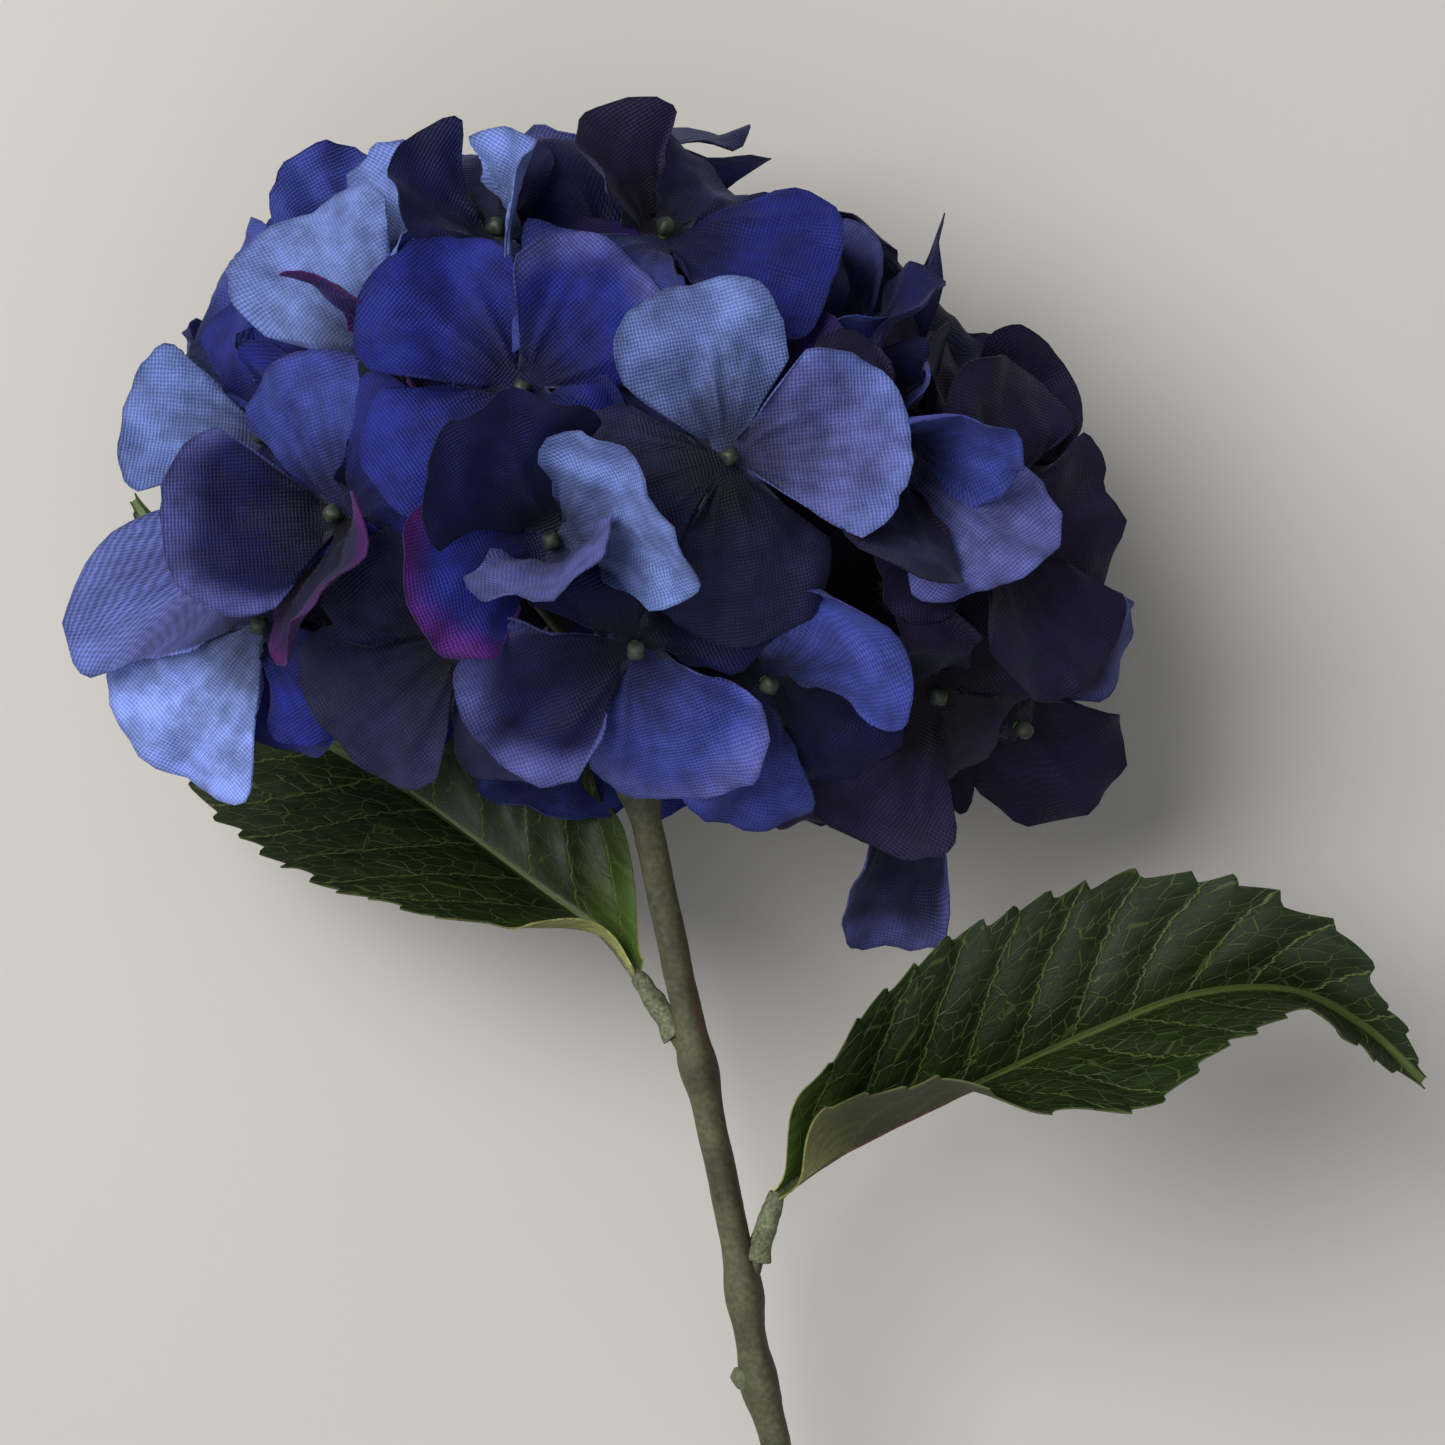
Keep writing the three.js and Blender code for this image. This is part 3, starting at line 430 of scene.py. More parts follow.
def moulded(name, rough, depth, scale, fleck=0.25):
    """Moulded plastic with an uneven, slightly dusty skin."""
    material, tree = started(name)
    place = place_on(tree)
    patch = noise(tree, place, scale * 90, 5, 0.65)
    grain = noise(tree, place, scale * 900, 3)
    shade = times(tree, ramp(tree, patch, 0.3, 0.7, 0.65, 1.3),
                  ramp(tree, grain, 0.3, 0.75, 1 - fleck, 1 + fleck))
    height = maths(tree, "ADD", patch, times(tree, grain, 0.5))
    rough = ramp(tree, patch, 0.3, 0.7, rough - 0.1, rough + 0.12)
    colour = scaled(tree, tint_of(tree), shade)
    finish_material(tree, surface(tree, colour, rough, height, depth, Specular_IOR_Level=0.4))
    return material


def drawn_steel():
    material, tree = started("wire_steel")
    scratch = noise(tree, place_on(tree), 1800, 3)
    rust = noise(tree, place_on(tree), 500, 4, 0.7)
    colour = blend_colour(tree, ramp(tree, rust, 0.5, 0.72), (0.42, 0.42, 0.43), (0.16, 0.09, 0.05))
    rough = ramp(tree, scratch, 0.3, 0.7, 0.3, 0.5)
    finish_material(tree, surface(tree, colour, rough, scratch, 0.02, Metallic=0.9))
    return material


def table_top():
    material, tree = started("table_top")
    grain = noise(tree, place_on(tree), 220, 4)
    broad = noise(tree, place_on(tree), 2.5, 2)
    colour = blend_colour(tree, ramp(tree, broad, 0.3, 0.7), (0.49, 0.475, 0.44), (0.53, 0.515, 0.48))
    finish_material(tree, surface(tree, colour, 0.9, grain, 0.06))
    return material


# ---- Florets ----
# How a petal leaves the floret's plane: rise at its base, curl along it, cup of its side edges.
PETAL_FORMS = {
    "open": (14, -18, 10), "flat": (4, -10, 5), "cup": (42, 8, 24), "droop": (-2, -50, -12),
    "fold": (20, -10, 62), "upright": (72, 0, 18), "closed": (50, 12, 14), "back": (-25, -35, -10),
    "pressed": (32, -12, 4),
}
SIDE_TILT = 9  # a flat petal's sides tilt to pass over or under its neighbours
SIDE_TILT_GAIN = 0.2  # steeper petals tilt further, by this share of their rise
CLOSED_WIDTH, HANGING_WIDTH, PRESSED_WIDTH = 0.85, 0.66, 0.76

# Dyes of the petals, and of the rims that some petals have. Slate and plum are partly dark cloth and partly
# painted shade, given to petals and florets that face away from the light.
DYES_AND_PAINTED_SHADE = {
    "bright": (0.270, 0.370, 0.850), "sky": (0.165, 0.235, 0.560), "lilac": (0.100, 0.115, 0.340),
    "blue": (0.040, 0.058, 0.300), "royal": (0.010, 0.017, 0.190), "navy": (0.005, 0.007, 0.060),
    "slate": (0.014, 0.016, 0.060), "plum": (0.010, 0.007, 0.036), "violet": (0.022, 0.009, 0.110),
}
RIMS = {"pink": (0.100, 0.008, 0.150), "pale": (0.110, 0.125, 0.400), "sky": (0.160, 0.220, 0.600)}

PETAL_TURN = 90  # from petal to petal, in degrees


def petals_of(forms, turns, sizes, dyes):
    """Four petals as (form, turn, size, dye). A word or size given once holds for all four, and a single
    turn is the first petal's."""
    if not isinstance(turns, tuple):
        turns = [turns + side * PETAL_TURN for side in range(4)]
    if not isinstance(sizes, tuple):
        sizes = [sizes] * 4
    forms, dyes = ((words.split() * 4)[:4] for words in (forms, dyes))
    return list(zip(forms, turns, sizes, dyes))


# Shown florets, outermost first: the centre as shares of the head's half sizes, the way it faces as
# (yaw, pitch), and the petals' forms, turns, sizes and dyes, with "/rim" after a dye that has one.
# Petals dyed slate or plum are partly painted shade: they are the ones turned away from the light, downwards
# or to the head's right side.
SHOWN_FLORETS = [
    ((0.25, 0.01, 0.74), (12, 5), "droop open open droop", (-74, 5, 104, 195),
     (1.1, 1.05, 1.03, 0.95), "slate lilac/sky sky slate"),
    ((-0.07, -0.2, 0.68), (-8, -5), "cup cup cup upright", (18, 112, 200, 285),
     (1.1, 1.1, 1, 0.9), "sky navy royal/pink lilac"),
    ((0.08, -0.47, 0.65), (5, -30), "open flat open open", (30, 120, 205, 292),
     (0.9, 0.8, 1.05, 1.05), "navy navy navy/pale blue/pale"),
    ((0.32, -0.56, 0.5), (30, -30), "open open cup back", (-92, -22, 60, 165),
     (1, 1, 1, 0.8), "blue navy blue navy"),
    ((-0.13, 0.19, 0.65), (0, 10), "fold open open open", (-40, 45, 140, 215),
     (0.8, 1, 1.05, 1), "royal royal/pale royal royal"),
    ((0.58, 0.04, 0.47), (30, -8), "cup cup upright open", (-135, -50, 60, 150),
     (1.1, 1.05, 0.9, 0.9), "plum lilac/pale blue plum"),
    ((-0.48, -0.12, 0.47), (-35, 0), "cup open open cup", (-65, 32, 108, 184),
     (1.05, 1, 1, 1.1), "plum/pink royal blue navy/pale"),
    ((-0.39, 0.3, 0.54), (-25, 15), "fold upright open open", (-40, 60, 128, 218),
     (0.9, 0.9, 1.1, 1.05), "violet violet/pink sky slate/pink"),
    ((0.13, 0.62, 0.47), (15, 40), "open flat cup open", (-25, 65, 145, 215),
     (1.05, 0.8, 0.85, 0.95), "royal navy plum blue"),
    ((-0.18, 0.62, 0.47), (-12, 40), "open upright open cup", (-75, 20, 100, 180),
     (0.9, 0.75, 0.75, 0.8), "blue sky navy navy"),
    ((0.74, -0.14, 0.35), (38, 5), "open open open flat", (-55, 5, 75, 190), (1.1, 1, 1, 0.9), "plum"),
    ((-0.25, -0.45, 0.47), (-10, -30), "cup open open open", (20, 125, 215, 300),
     (0.9, 0.9, 1.05, 1), "navy slate slate slate"),
    ((-0.63, 0.1, 0.25), (-45, 12), "open cup open cup", (-110, 20, 108, 185),
     (1.05, 0.9, 1.1, 0.95), "royal royal royal sky"),
    ((0.68, 0.1, 0.1), (45, 30), "open cup open cup", (-80, 10, 90, 180), 0.9, "plum"),
    ((0.2, 0.36, 0.44), (5, 30), "open", 45, 1, "navy violet navy violet"),
    ((0.65, -0.59, 0.25), (22, -25), "open droop open cup", (-115, -35, 45, 150),
     (1.05, 1.05, 0.95, 1), "plum"),
    ((-0.64, -0.4, 0.31), (-15, -25), "open", (-60, 80, 164, 226),
     (0.8, 0.9, 1.2, 1.2), "royal royal lilac/sky bright"),
    ((-0.5, -0.4, 0.29), (-25, -30), "open", (40, 130, 215, 310), 1, "royal"),
    ((0.43, 0.3, 0.25), (20, 60), "closed", 45, 1, "navy/pale navy/pale blue navy", CLOSED_WIDTH),
    ((0.53, 0.22, 0.2), (35, 60), "closed", 30, 1, "blue sky/pale navy blue/pale", CLOSED_WIDTH),
    ((-0.44, 0.54, 0.18), (-20, 42), "cup", 40, 0.9, "sky blue blue sky"),
    ((0.55, -0.3, 0.2), (25, -15), "open", -120, 1, "plum"),
    ((0.62, -0.86, 0.03), (20, -50), "fold open open open", (-88, 0, 80, 180),
     (1.2, 1, 1, 1), "slate/pale plum plum plum", HANGING_WIDTH),
    ((0.82, -0.68, 0.03), (50, -25), "open", (-120, -30, 50, 140), 1, "plum plum plum/pale plum"),
]

# Florets of the sides, the top and the back, as (yaw, pitch, turn, dye).
# Here too slate and plum are partly painted shade, on florets facing down, back or right, away from the
# light.
PLAIN_FLORETS = [
    (-95, 22, 20, "blue"), (-138, 42, 50, "royal"), (-155, 2, 10, "sky"), (176, 32, 40, "royal"),
    (-176, -12, 70, "slate"), (145, 12, 30, "violet"), (118, 36, 180, "navy"), (100, 5, 15, "plum"),
    (152, -38, 50, "slate"), (-178, -48, 30, "blue"), (108, -36, 25, "plum"), (20, 80, 45, "navy"),
    (-75, 62, 60, "royal"), (-122, -10, 10, "blue"), (165, 62, 30, "lilac"),
]
PLAIN_REACH, BACK_YAW, BACK_REST = 0.89, 140, 5.2
LOWEST = 4  # the row of the floret that the head rests on
SIDE_FORMS = "open flat open droop"
FINE_GRID, PLAIN_GRID = (24, 38), (17, 28)  # rings from the hole out, and columns for each petal
OUTLINE_SWEEP = 152  # degrees round the middle of a petal's blade, to its neck each way
BLADE_MIDDLE = 0.57  # the blade's middle, as a share of the petal's length
RIDGES = (-0.62, -0.34, -0.02, 0.3, 0.6)  # where the ridges run, in radians from the middle
RIDGE, CREASE, FINE, SWELL, WAVE, FLUTTER = 0.75, 0.7, 0.22, 1.5, 1.9, 0.85  # heights of the relief
PRESSED_RELIEF = 0.5
# the first is painted shade: the share of the dye left at a floret's throat
THROAT_PAINTED_SHADE, RIM_DYE, CUT_SHADE = 0.2, 0.75, 0.35
TABLE_GAP = 0.05


def with_sides(petals):
    """Sorts petals round the floret. Where two meet, the steeper one's side lies over the other's."""
    ordered = sorted(petals, key=lambda petal: petal[1])
    rises = [PETAL_FORMS[petal[0]][0] for petal in ordered]
    sided = []
    for k, petal in enumerate(ordered):
        right = 1 if rises[k] > rises[k - 1] else -1
        left = 1 if rises[k] >= rises[(k + 1) % len(rises)] else -1
        sided.append((*petal, right, left))
    return sided


class Floret:
    """A floret's place and petals, and its cloth as a round grid: rings outwards, columns round."""

    def __init__(self, number, at, face, petals, width=1.0, fine=True):
        self.name = f"floret_{number:02d}"
        self.number = number
        self.rng = np.random.default_rng(1000 + number)
        self.at, self.petals, self.width = at, with_sides(petals), width
        self.centre = in_head(at)
        self.normal = facing(*face)
        yaw = math.radians(face[0])
        self.right = np.array([math.cos(yaw), 0, -math.sin(yaw)])
        self.up = np.cross(self.normal, self.right)
        self.rings, self.columns = FINE_GRID if fine else PLAIN_GRID
        self.make_grid()

    def shaped(self, petal, reach, lateral, lift):
        """Points of the cloth, reach along a petal and lateral across it, once it is shaped."""
        form, turn, size, _, right, left = petal
        rise, curl, cup = (math.radians(a) for a in PETAL_FORMS[form])
        risen = np.maximum(reach - SEAT_RADIUS, 0)
        share = risen / (PETAL_LENGTH * size)
        pitch = rise + curl * share
        slope = rise + curl * share / 2
        edge = 2 * lateral / (PETAL_WIDTH * size) * cup
        bent = np.where(np.abs(edge) < 1e-4, 1e-4, edge)
        arc = lateral * np.sin(bent) / bent
        high = lateral * (1 - np.cos(bent)) / bent + lift
        tilt = math.radians(SIDE_TILT) + SIDE_TILT_GAIN * abs(rise)
        off = np.sqrt(lateral ** 2 + 1) - 1
        high = high + off * np.where(lateral < 0, right, left) * math.tan(tilt)
        turn = math.radians(turn)
        out = self.right * math.cos(turn) + self.up * math.sin(turn)
        aside = np.cross(self.normal, out)
        level = np.minimum(reach, SEAT_RADIUS)
        return (self.centre
                + out * (level + risen * np.cos(slope) - high * np.sin(pitch))[..., None]
                + self.normal * (risen * np.sin(slope) + high * np.cos(pitch))[..., None]
                + aside * arc[..., None])

    def outline(self, index):
        """The petal's rim from its right notch to its left, as reach along and across it."""
        turn, size = self.petals[index][1:3]
        before = self.petals[index - 1][1] - (360 if index == 0 else 0)
        after = self.petals[(index + 1) % 4][1] + (360 if index == 3 else 0)
        open_right, open_left = (turn - before) / 2, (after - turn) / 2
        rng = self.rng
        phi = np.radians(np.linspace(-OUTLINE_SWEEP, OUTLINE_SWEEP, self.columns))
        # a broad blade, a little squared off, wider on one side than on the other
        power = rng.uniform(0.8, 0.95)
        long = BLADE_MIDDLE + (1 - BLADE_MIDDLE) * np.sign(np.cos(phi)) * np.abs(np.cos(phi)) ** power
        wide = 0.5 * np.sign(np.sin(phi)) * np.abs(np.sin(phi)) ** power
        wide = wide * (1 + rng.uniform(-0.08, 0.08) * np.sign(phi))
        scallops = rng.uniform(3.6, 6.6)
        waves = (0.03 * np.abs(np.sin(phi * scallops + rng.uniform(0, 3)))
                 + 0.045 * np.sin(phi * rng.uniform(1.3, 3.4) + rng.uniform(0, 6))
                 + rng.normal(0, 0.009, self.columns))
        tip = smooth(-0.5, 0.6, np.cos(phi))
        notch = -rng.uniform(0.0, 0.05) * np.exp(-((phi - rng.uniform(-0.2, 0.2)) / 0.16) ** 2)
        long = BLADE_MIDDLE + (long - BLADE_MIDDLE) * (1 + waves * tip + notch)
        wide = wide * (1 + waves * tip)
        long, wide = long * PETAL_LENGTH * size, wide * PETAL_WIDTH * size * self.width
        spread = np.where(wide < 0, open_right, open_left) - 1.5
        widest = np.tan(np.radians(np.clip(spread, 30, 52))) * long
        return long, np.sign(wide) * np.minimum(np.abs(wide), widest), open_right, open_left

    def make_grid(self):
        parts = zip(*(self.petal_grid(index, petal) for index, petal in enumerate(self.petals)))
        self.grid, self.flat, self.tint, self.share = (np.concatenate(part, 1) for part in parts)
        # neighbouring petals share the notch between them
        inner = self.rings // 6
        for start in range(0, self.grid.shape[1], self.columns + 1):
            near = (self.grid[:, start - 1] + self.grid[:, (start + 1) % self.grid.shape[1]]) / 2
            self.grid[:inner, start] = near[:inner]
        self.lay_on_table()

    def lay_on_table(self):
        self.grid[..., 2] = np.maximum(self.grid[..., 2], CLOTH / 2 + TABLE_GAP)

    def petal_grid(self, index, petal):
        long, wide, open_right, open_left = self.outline(index)
        size = petal[2]
        # column 0 is the notch before the petal
        notch_angle = -math.radians(open_right)
        long = np.r_[NOTCH_RADIUS * math.cos(notch_angle), long]
        wide = np.r_[NOTCH_RADIUS * math.sin(notch_angle), wide]
        angle = np.radians(np.linspace(-open_right, open_left, self.columns + 2)[:-1])
        ring = np.linspace(0, 1, self.rings - 1) ** 0.85
        cos, sin = np.cos(angle), np.sin(angle)
        reach = np.vstack([HOLE_RADIUS * cos, mix(SEAT_RADIUS * cos, long, ring[:, None])])
        lateral = np.vstack([HOLE_RADIUS * sin, mix(SEAT_RADIUS * sin, wide, ring[:, None])])
        out = np.hypot(reach, lateral)
        share = out / (PETAL_LENGTH * size)
        rim = np.repeat(np.r_[0, ring][:, None], self.columns + 1, 1)
        lift = self.relief(reach, lateral, share, rim, size, petal[0])
        blend = smooth(SEAT_RADIUS, SEAT_RADIUS + 4, out)
        grid = self.shaped(petal, mix(out, reach, blend), lateral * blend, lift)
        level = self.shaped(("flat", petal[1], 1, "", 0, 0), reach, lateral, lift * 0)
        grid = mix(level, grid, blend[..., None])
        tint = self.dye(petal[3], share, rim, lateral)
        flat = np.stack([reach + 100 * index, lateral + 10 * self.number], -1)
        return grid, flat, tint, np.clip(share, 0, 1.1)

    def relief(self, reach, lateral, share, rim, size, form):
        """Pressed ridges that fan from the base, creases between them, and a wavy rim."""
        rng = self.rng
        fan = np.arctan2(lateral, reach + 4)
        fade = smooth(0.12, 0.3, share) * (1 - smooth(0.55, 1.05, share))
        ridges = 0
        for spot in RIDGES:
            bend = spot * (1 + 0.25 * share) + rng.uniform(-0.03, 0.03)
            ridges = ridges + rng.uniform(0.35, 1.0) * np.exp(-((fan - bend) / 0.05) ** 2)
        crease = ripple(rng, reach * 0.6, lateral, scale=11) * smooth(0.2, 0.6, share)
        swell = ripple(rng, reach, lateral, scale=24) * smooth(0.2, 0.7, share)
        around = np.arctan2(lateral, reach - 0.5 * PETAL_LENGTH * size)
        wave = np.sin(around * rng.uniform(2.2, 3.8) + rng.uniform(0, 6)) * rim ** 3
        flutter = np.sin(around * rng.uniform(6, 9) + rng.uniform(0, 6)) * rim ** 5
        wild = PRESSED_RELIEF if form == "pressed" else 1.0
        fine = ripple(rng, reach, lateral * 0.5, scale=5.5) * smooth(0.25, 0.6, share)
        return wild * (RIDGE * ridges * fade + CREASE * crease + FINE * fine + SWELL * swell
                       + WAVE * wave + FLUTTER * flutter)

    def dye(self, names, share, rim, lateral):
        """The cloth's colour: painted shade that darkens it at the throat, with veins and a rim of another
        dye.
        """
        rng = self.rng
        main, *edge = names.split("/")
        colour = np.array(DYES_AND_PAINTED_SHADE[main]) * rng.uniform(0.9, 1.12)
        # painted shade: the dye darkens towards the throat, deep in the floret where its petals shade it
        throat = colour * THROAT_PAINTED_SHADE
        tint = mix(throat, colour, smooth(0.14, 0.7, share)[..., None])
        fan = np.arctan2(lateral, share * PETAL_LENGTH + 3)
        streak = 1 + 0.13 * np.sin(fan * 38 + rng.uniform(0, 6)) * (1 - smooth(0.5, 1.0, share))
        tint = tint * streak[..., None]
        if edge:
            band = smooth(0.72, 0.99, rim + 0.06 * np.sin(fan * 9 + rng.uniform(0, 6)))
            tint = mix(tint, np.array(RIMS[edge[0]]), (RIM_DYE * band)[..., None])
        dark_cut = smooth(0.965, 0.995, rim)
        return tint * (1 - CUT_SHADE * dark_cut[..., None])

    def build(self, cloth):
        shape = Shape()
        add_sheet(shape, self.grid, self.tint, self.flat, CLOTH, closed=True)
        return shape.piece(self.name + "_cloth", [cloth], self.name, sharp=60)


def all_florets():
    florets = [Floret(k + 1, at, face, petals_of(*petals[:4]), *petals[4:])
               for k, (at, face, *petals) in enumerate(SHOWN_FLORETS)]
    for row, (yaw, pitch, turn, dye) in enumerate(PLAIN_FLORETS):
        out = facing(yaw, pitch) * PLAIN_REACH
        forms = "flat" if abs(yaw) > BACK_YAW else SIDE_FORMS
        width = 1.0
        if row == LOWEST:
            out[2] = BACK_REST / HALF[2] - 1
            forms, width = "pressed", PRESSED_WIDTH
        petals = petals_of(forms, turn, 1, dye)
        florets.append(Floret(len(florets) + 1, out, (yaw, pitch), petals, width, fine=False))
    return florets


# Cloth that lies behind other cloth is eased inwards until it clears it.
CLEARANCE = 0.55
EASE_DEPTH = 13
EASE_ROUNDS = 3
SPREAD_ROUNDS = 22  # how far one point's way in spreads to the cloth round it
NEAR = 2.4  # florets nearer than this, in petal lengths, are looked at


def grid_tree(florets):
    points, faces, count = [], [], 0
    for floret in florets:
        rows, columns = floret.grid.shape[:2]
        points.append(floret.grid.reshape(-1, 3))
        faces += [tuple(i + count for i in face) for face in grid_faces(rows, columns, closed=True)]
        count += rows * columns
    return BVHTree.FromPolygons(np.vstack(points).tolist(), faces)


def ease_behind(floret, tree):
    """Moves the floret's cloth behind the cloth in tree wherever the two would cross."""
    rows, columns = floret.grid.shape[:2]
    points = floret.grid.reshape(-1, 3)
    outward = unit((points - CENTRE) / HALF ** 2)
    need = np.zeros(len(points))
    for k, (point, out) in enumerate(zip(points, outward)):
        spot, way = Vector(point), Vector(out)
        hit = tree.ray_cast(spot - way * EASE_DEPTH, way, EASE_DEPTH + CLEARANCE)
        if hit[0] is not None:
            need[k] = EASE_DEPTH - hit[3] + CLEARANCE
    need = need.reshape(rows, columns)
    held = smooth(0.12, 0.35, floret.share)
    push = need.copy()
    for _ in range(SPREAD_ROUNDS):
        around = (np.roll(push, 1, 1) + np.roll(push, -1, 1)) / 2
        along = (np.vstack([push[:1], push[:-1]]) + np.vstack([push[1:], push[-1:]])) / 2
        push = np.maximum(need, 0.5 * (around + along))
    push = push * held
    floret.grid = floret.grid - outward.reshape(rows, columns, 3) * push[..., None]
    floret.lay_on_table()


def layer(florets):
    """Lays the florets in order, outermost first. The second one's petals lie over the first's."""
    florets = [florets[1], florets[0], *florets[2:]]
    for _ in range(EASE_ROUNDS):
        for rank in range(1, len(florets)):
            near = [f for f in florets[:rank]
                    if np.linalg.norm(f.centre - florets[rank].centre) < NEAR * PETAL_LENGTH]
            if near:
                ease_behind(florets[rank], grid_tree(near))


# ---- Stem ----
RIM_ASIDE, RIM_LOWER = 4.4, 7  # the socket's rim stands right of the head's middle and below it
RIM = np.array([RIM_ASIDE, -SOCKET_DROP, HALF[2] - RIM_LOWER])
STEM_LINE = [(0, 0, 1), (2.6, .037, .985), (10.4, .148, .87), (20.1, .284, .72), (23.8, .351, .64),
             (27.3, .392, .6), (36, .62, .3), (47.6, 1, 0)]
stem_line = Line([(RIM[0] + aside, RIM[1] - along * STEM_LENGTH, mix(STEM_RADIUS, RIM[2], height))
                  for aside, along, height in STEM_LINE])
stem_top = -stem_line.tangent(0)
LEFT_NODE, RIGHT_NODE, BUD_NODE = 0.185, 0.31, 0.36
SOCKET_RADIUS = STALK_RING + STALK_RADIUS + GAP
WIRE_COVER = 6  # stem between the wire's end and the socket's floor
NECK = 0.9  # the stem's radius under the socket, as a share of the cut end's
NODE_SPREAD = 0.014
FLARE_START, FLARE_END = 1.2, 2.4  # where the socket narrows, in shares of its depth
BUD_LENGTH, BUD_FOOT, BUD_TAPER = 2.4, 2.3, 1.2
COLLAR_FOOT, COLLAR_TAPER, COLLAR_SHARE = 1.9, 0.9, 0.45  # the shoulder of a peg inside the stem
SOCKET_SHARE = SOCKET_DEPTH / stem_line.length
LEFT_OUT, RIGHT_OUT = unit([-0.55, 0.82, -0.16]), unit([0.3, 0.94, 0.16])
BUD_OUT = unit([-0.9, 0.35, 0.2])

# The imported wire's own box gives the way from the head's frame to the part's.
wire_low, wire_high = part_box("stem_wire")
wire_line = Line(stem_line.at(np.linspace((SOCKET_DEPTH + WIRE_COVER) / stem_line.length, 1, 15)))
wire_middle = (wire_line.points.min(0) + wire_line.points.max(0)) / 2
SHIFT = (np.array(wire_low) + np.array(wire_high)) / 2 / MM - wire_middle
SHIFT[2] = 0

OLIVE = np.array([0.070, 0.072, 0.036])
BROWN = np.array([0.050, 0.030, 0.018])
GREY_GREEN = np.array([0.110, 0.122, 0.066])
DEEP_GREEN = np.array([0.060, 0.085, 0.030])
EYE_GREEN = np.array([0.020, 0.030, 0.020])


def stem_radius(share):
    swelling = sum(NODE_SWELLING * np.exp(-((share - spot) / NODE_SPREAD) ** 2)
                   for spot in (LEFT_NODE, RIGHT_NODE, BUD_NODE))
    plain = mix(STEM_RADIUS * NECK, STEM_RADIUS, share) + swelling
    flare = 1 - smooth(SOCKET_SHARE * FLARE_START, SOCKET_SHARE * FLARE_END, share)
    return mix(plain, SOCKET_RADIUS + SOCKET_WALL, flare)


def stem_tint(share, ring):
    """Olive plastic, darkened with painted shade to brown down its right side, away from the light, and at
    its nodes.
    """
    rng = np.random.default_rng(7)
    # painted shade: the side turned away from the light, x outwards, fades to brown
    side = ring[..., 0] + 0.25 * ripple(rng, share * 300, ring[..., 0] * 2, scale=30)
    streak = smooth(0.35, 0.85, side) * smooth(0.04, 0.1, share)
    return mix(OLIVE, BROWN, (0.85 * streak)[..., None])


def stem_piece(plastic):
    rng = np.random.default_rng(11)
    shape = Shape()

    def lumps(length, angle):
        groove = 0.12 * np.sin(3 * angle + length * 0.03)
        broad = 0.16 * ripple(rng, length, angle * 3, scale=14)
        return groove + broad + 0.06 * ripple(rng, length, angle * 3, scale=4)

    add_bar(shape, stem_line, stem_radius, stem_tint, 260, 28, start=SOCKET_SHARE, lumps=lumps)
    # the open socket: outer wall, rim, inner wall
    outer = SOCKET_RADIUS + SOCKET_WALL
    profile = [(SOCKET_DEPTH, outer), (0.6, outer), (0, SOCKET_RADIUS + SOCKET_WALL * 0.7),
               (0, SOCKET_RADIUS + 0.15), (0.5, SOCKET_RADIUS), (SOCKET_DEPTH, SOCKET_RADIUS)]
    add_turned(shape, RIM, -stem_top, profile, OLIVE, 28)
    for share, out in ((LEFT_NODE, LEFT_OUT), (RIGHT_NODE, RIGHT_OUT)):
        root = stem_line.at(share)
        peg = straight(root, out, PEG_START, PEG_ROOT + PEG_LENGTH)
        add_bar(shape, peg, lambda s: np.where(s < COLLAR_SHARE, COLLAR_FOOT - COLLAR_TAPER * s, PEG_RADIUS),
                stem_tint, 8, 14)
    root = stem_line.at(BUD_NODE)
    bud = straight(root, BUD_OUT, 0, STEM_RADIUS + BUD_LENGTH)
    add_bar(shape, bud, lambda s: BUD_FOOT - BUD_TAPER * s ** 4, GREY_GREEN, 10, 14,
            lumps=lambda length, angle: 0.25 * ripple(rng, length, angle * 2, scale=3))
    return shape.piece("stem_moulding", [plastic], "stem", sharp=70)


def add_turned(shape, foot, way, profile, tint, sides):
    """A turned form: profile is (height, radius) from foot along way, seen from outside in."""
    way = unit(way)
    across = unit(np.cross(way, [0, 0, 1]) if abs(way[2]) < 0.9 else np.cross(way, [0, 1, 0]))
    ring, angle = circle(across, np.cross(way, across), sides)
    points = np.array([foot + way * height + ring * radius for height, radius in profile])
    flat = np.stack(np.meshgrid(angle * 3, [p[0] for p in profile]), -1)
    shape.add(points, grid_faces(len(profile), sides, closed=True), tint, flat)


def wire_piece(steel):
    shape = Shape()
    add_bar(shape, wire_line, WIRE_RADIUS, (1, 1, 1), 90, 18)
    return shape.piece("wire", [steel], "stem_wire")


# ---- Sprays ----
FORK_SHARE, TOP_PITCH, SPRAY_COUNT, SPRAY_ANGLE = 0.3, 52, 6, 60
SEAT = 0.35  # between a floret's cloth and its calyx or bead
KNOB_HALF = 1.4  # half the length of the knob where a spray forks
CALYX = [(0, 0.1), (0, 0.9), (1.2, 1.1), (2.6, 1.7), (3.6, CALYX_RADIUS), (4.05, CALYX_RADIUS),
         (4.0, 0.2)]  # height and radius, from its foot up and over
NECK_RADIUS = 0.85  # the pin through a floret's hole
BEAD_ROWS, BEAD_SIDES = 10, 24
socket_side = -unit(np.cross([0, 0, 1], stem_top))
socket_front = unit(np.cross(socket_side, stem_top))


def spray_of(floret):
    aside, high, forward = floret.at
    if math.degrees(math.atan2(high, math.hypot(aside, forward))) > TOP_PITCH:
        return SPRAY_COUNT
    yaw = math.degrees(math.atan2(aside, forward))
    return math.floor((yaw + 360) / SPRAY_ANGLE + 0.5) % SPRAY_COUNT


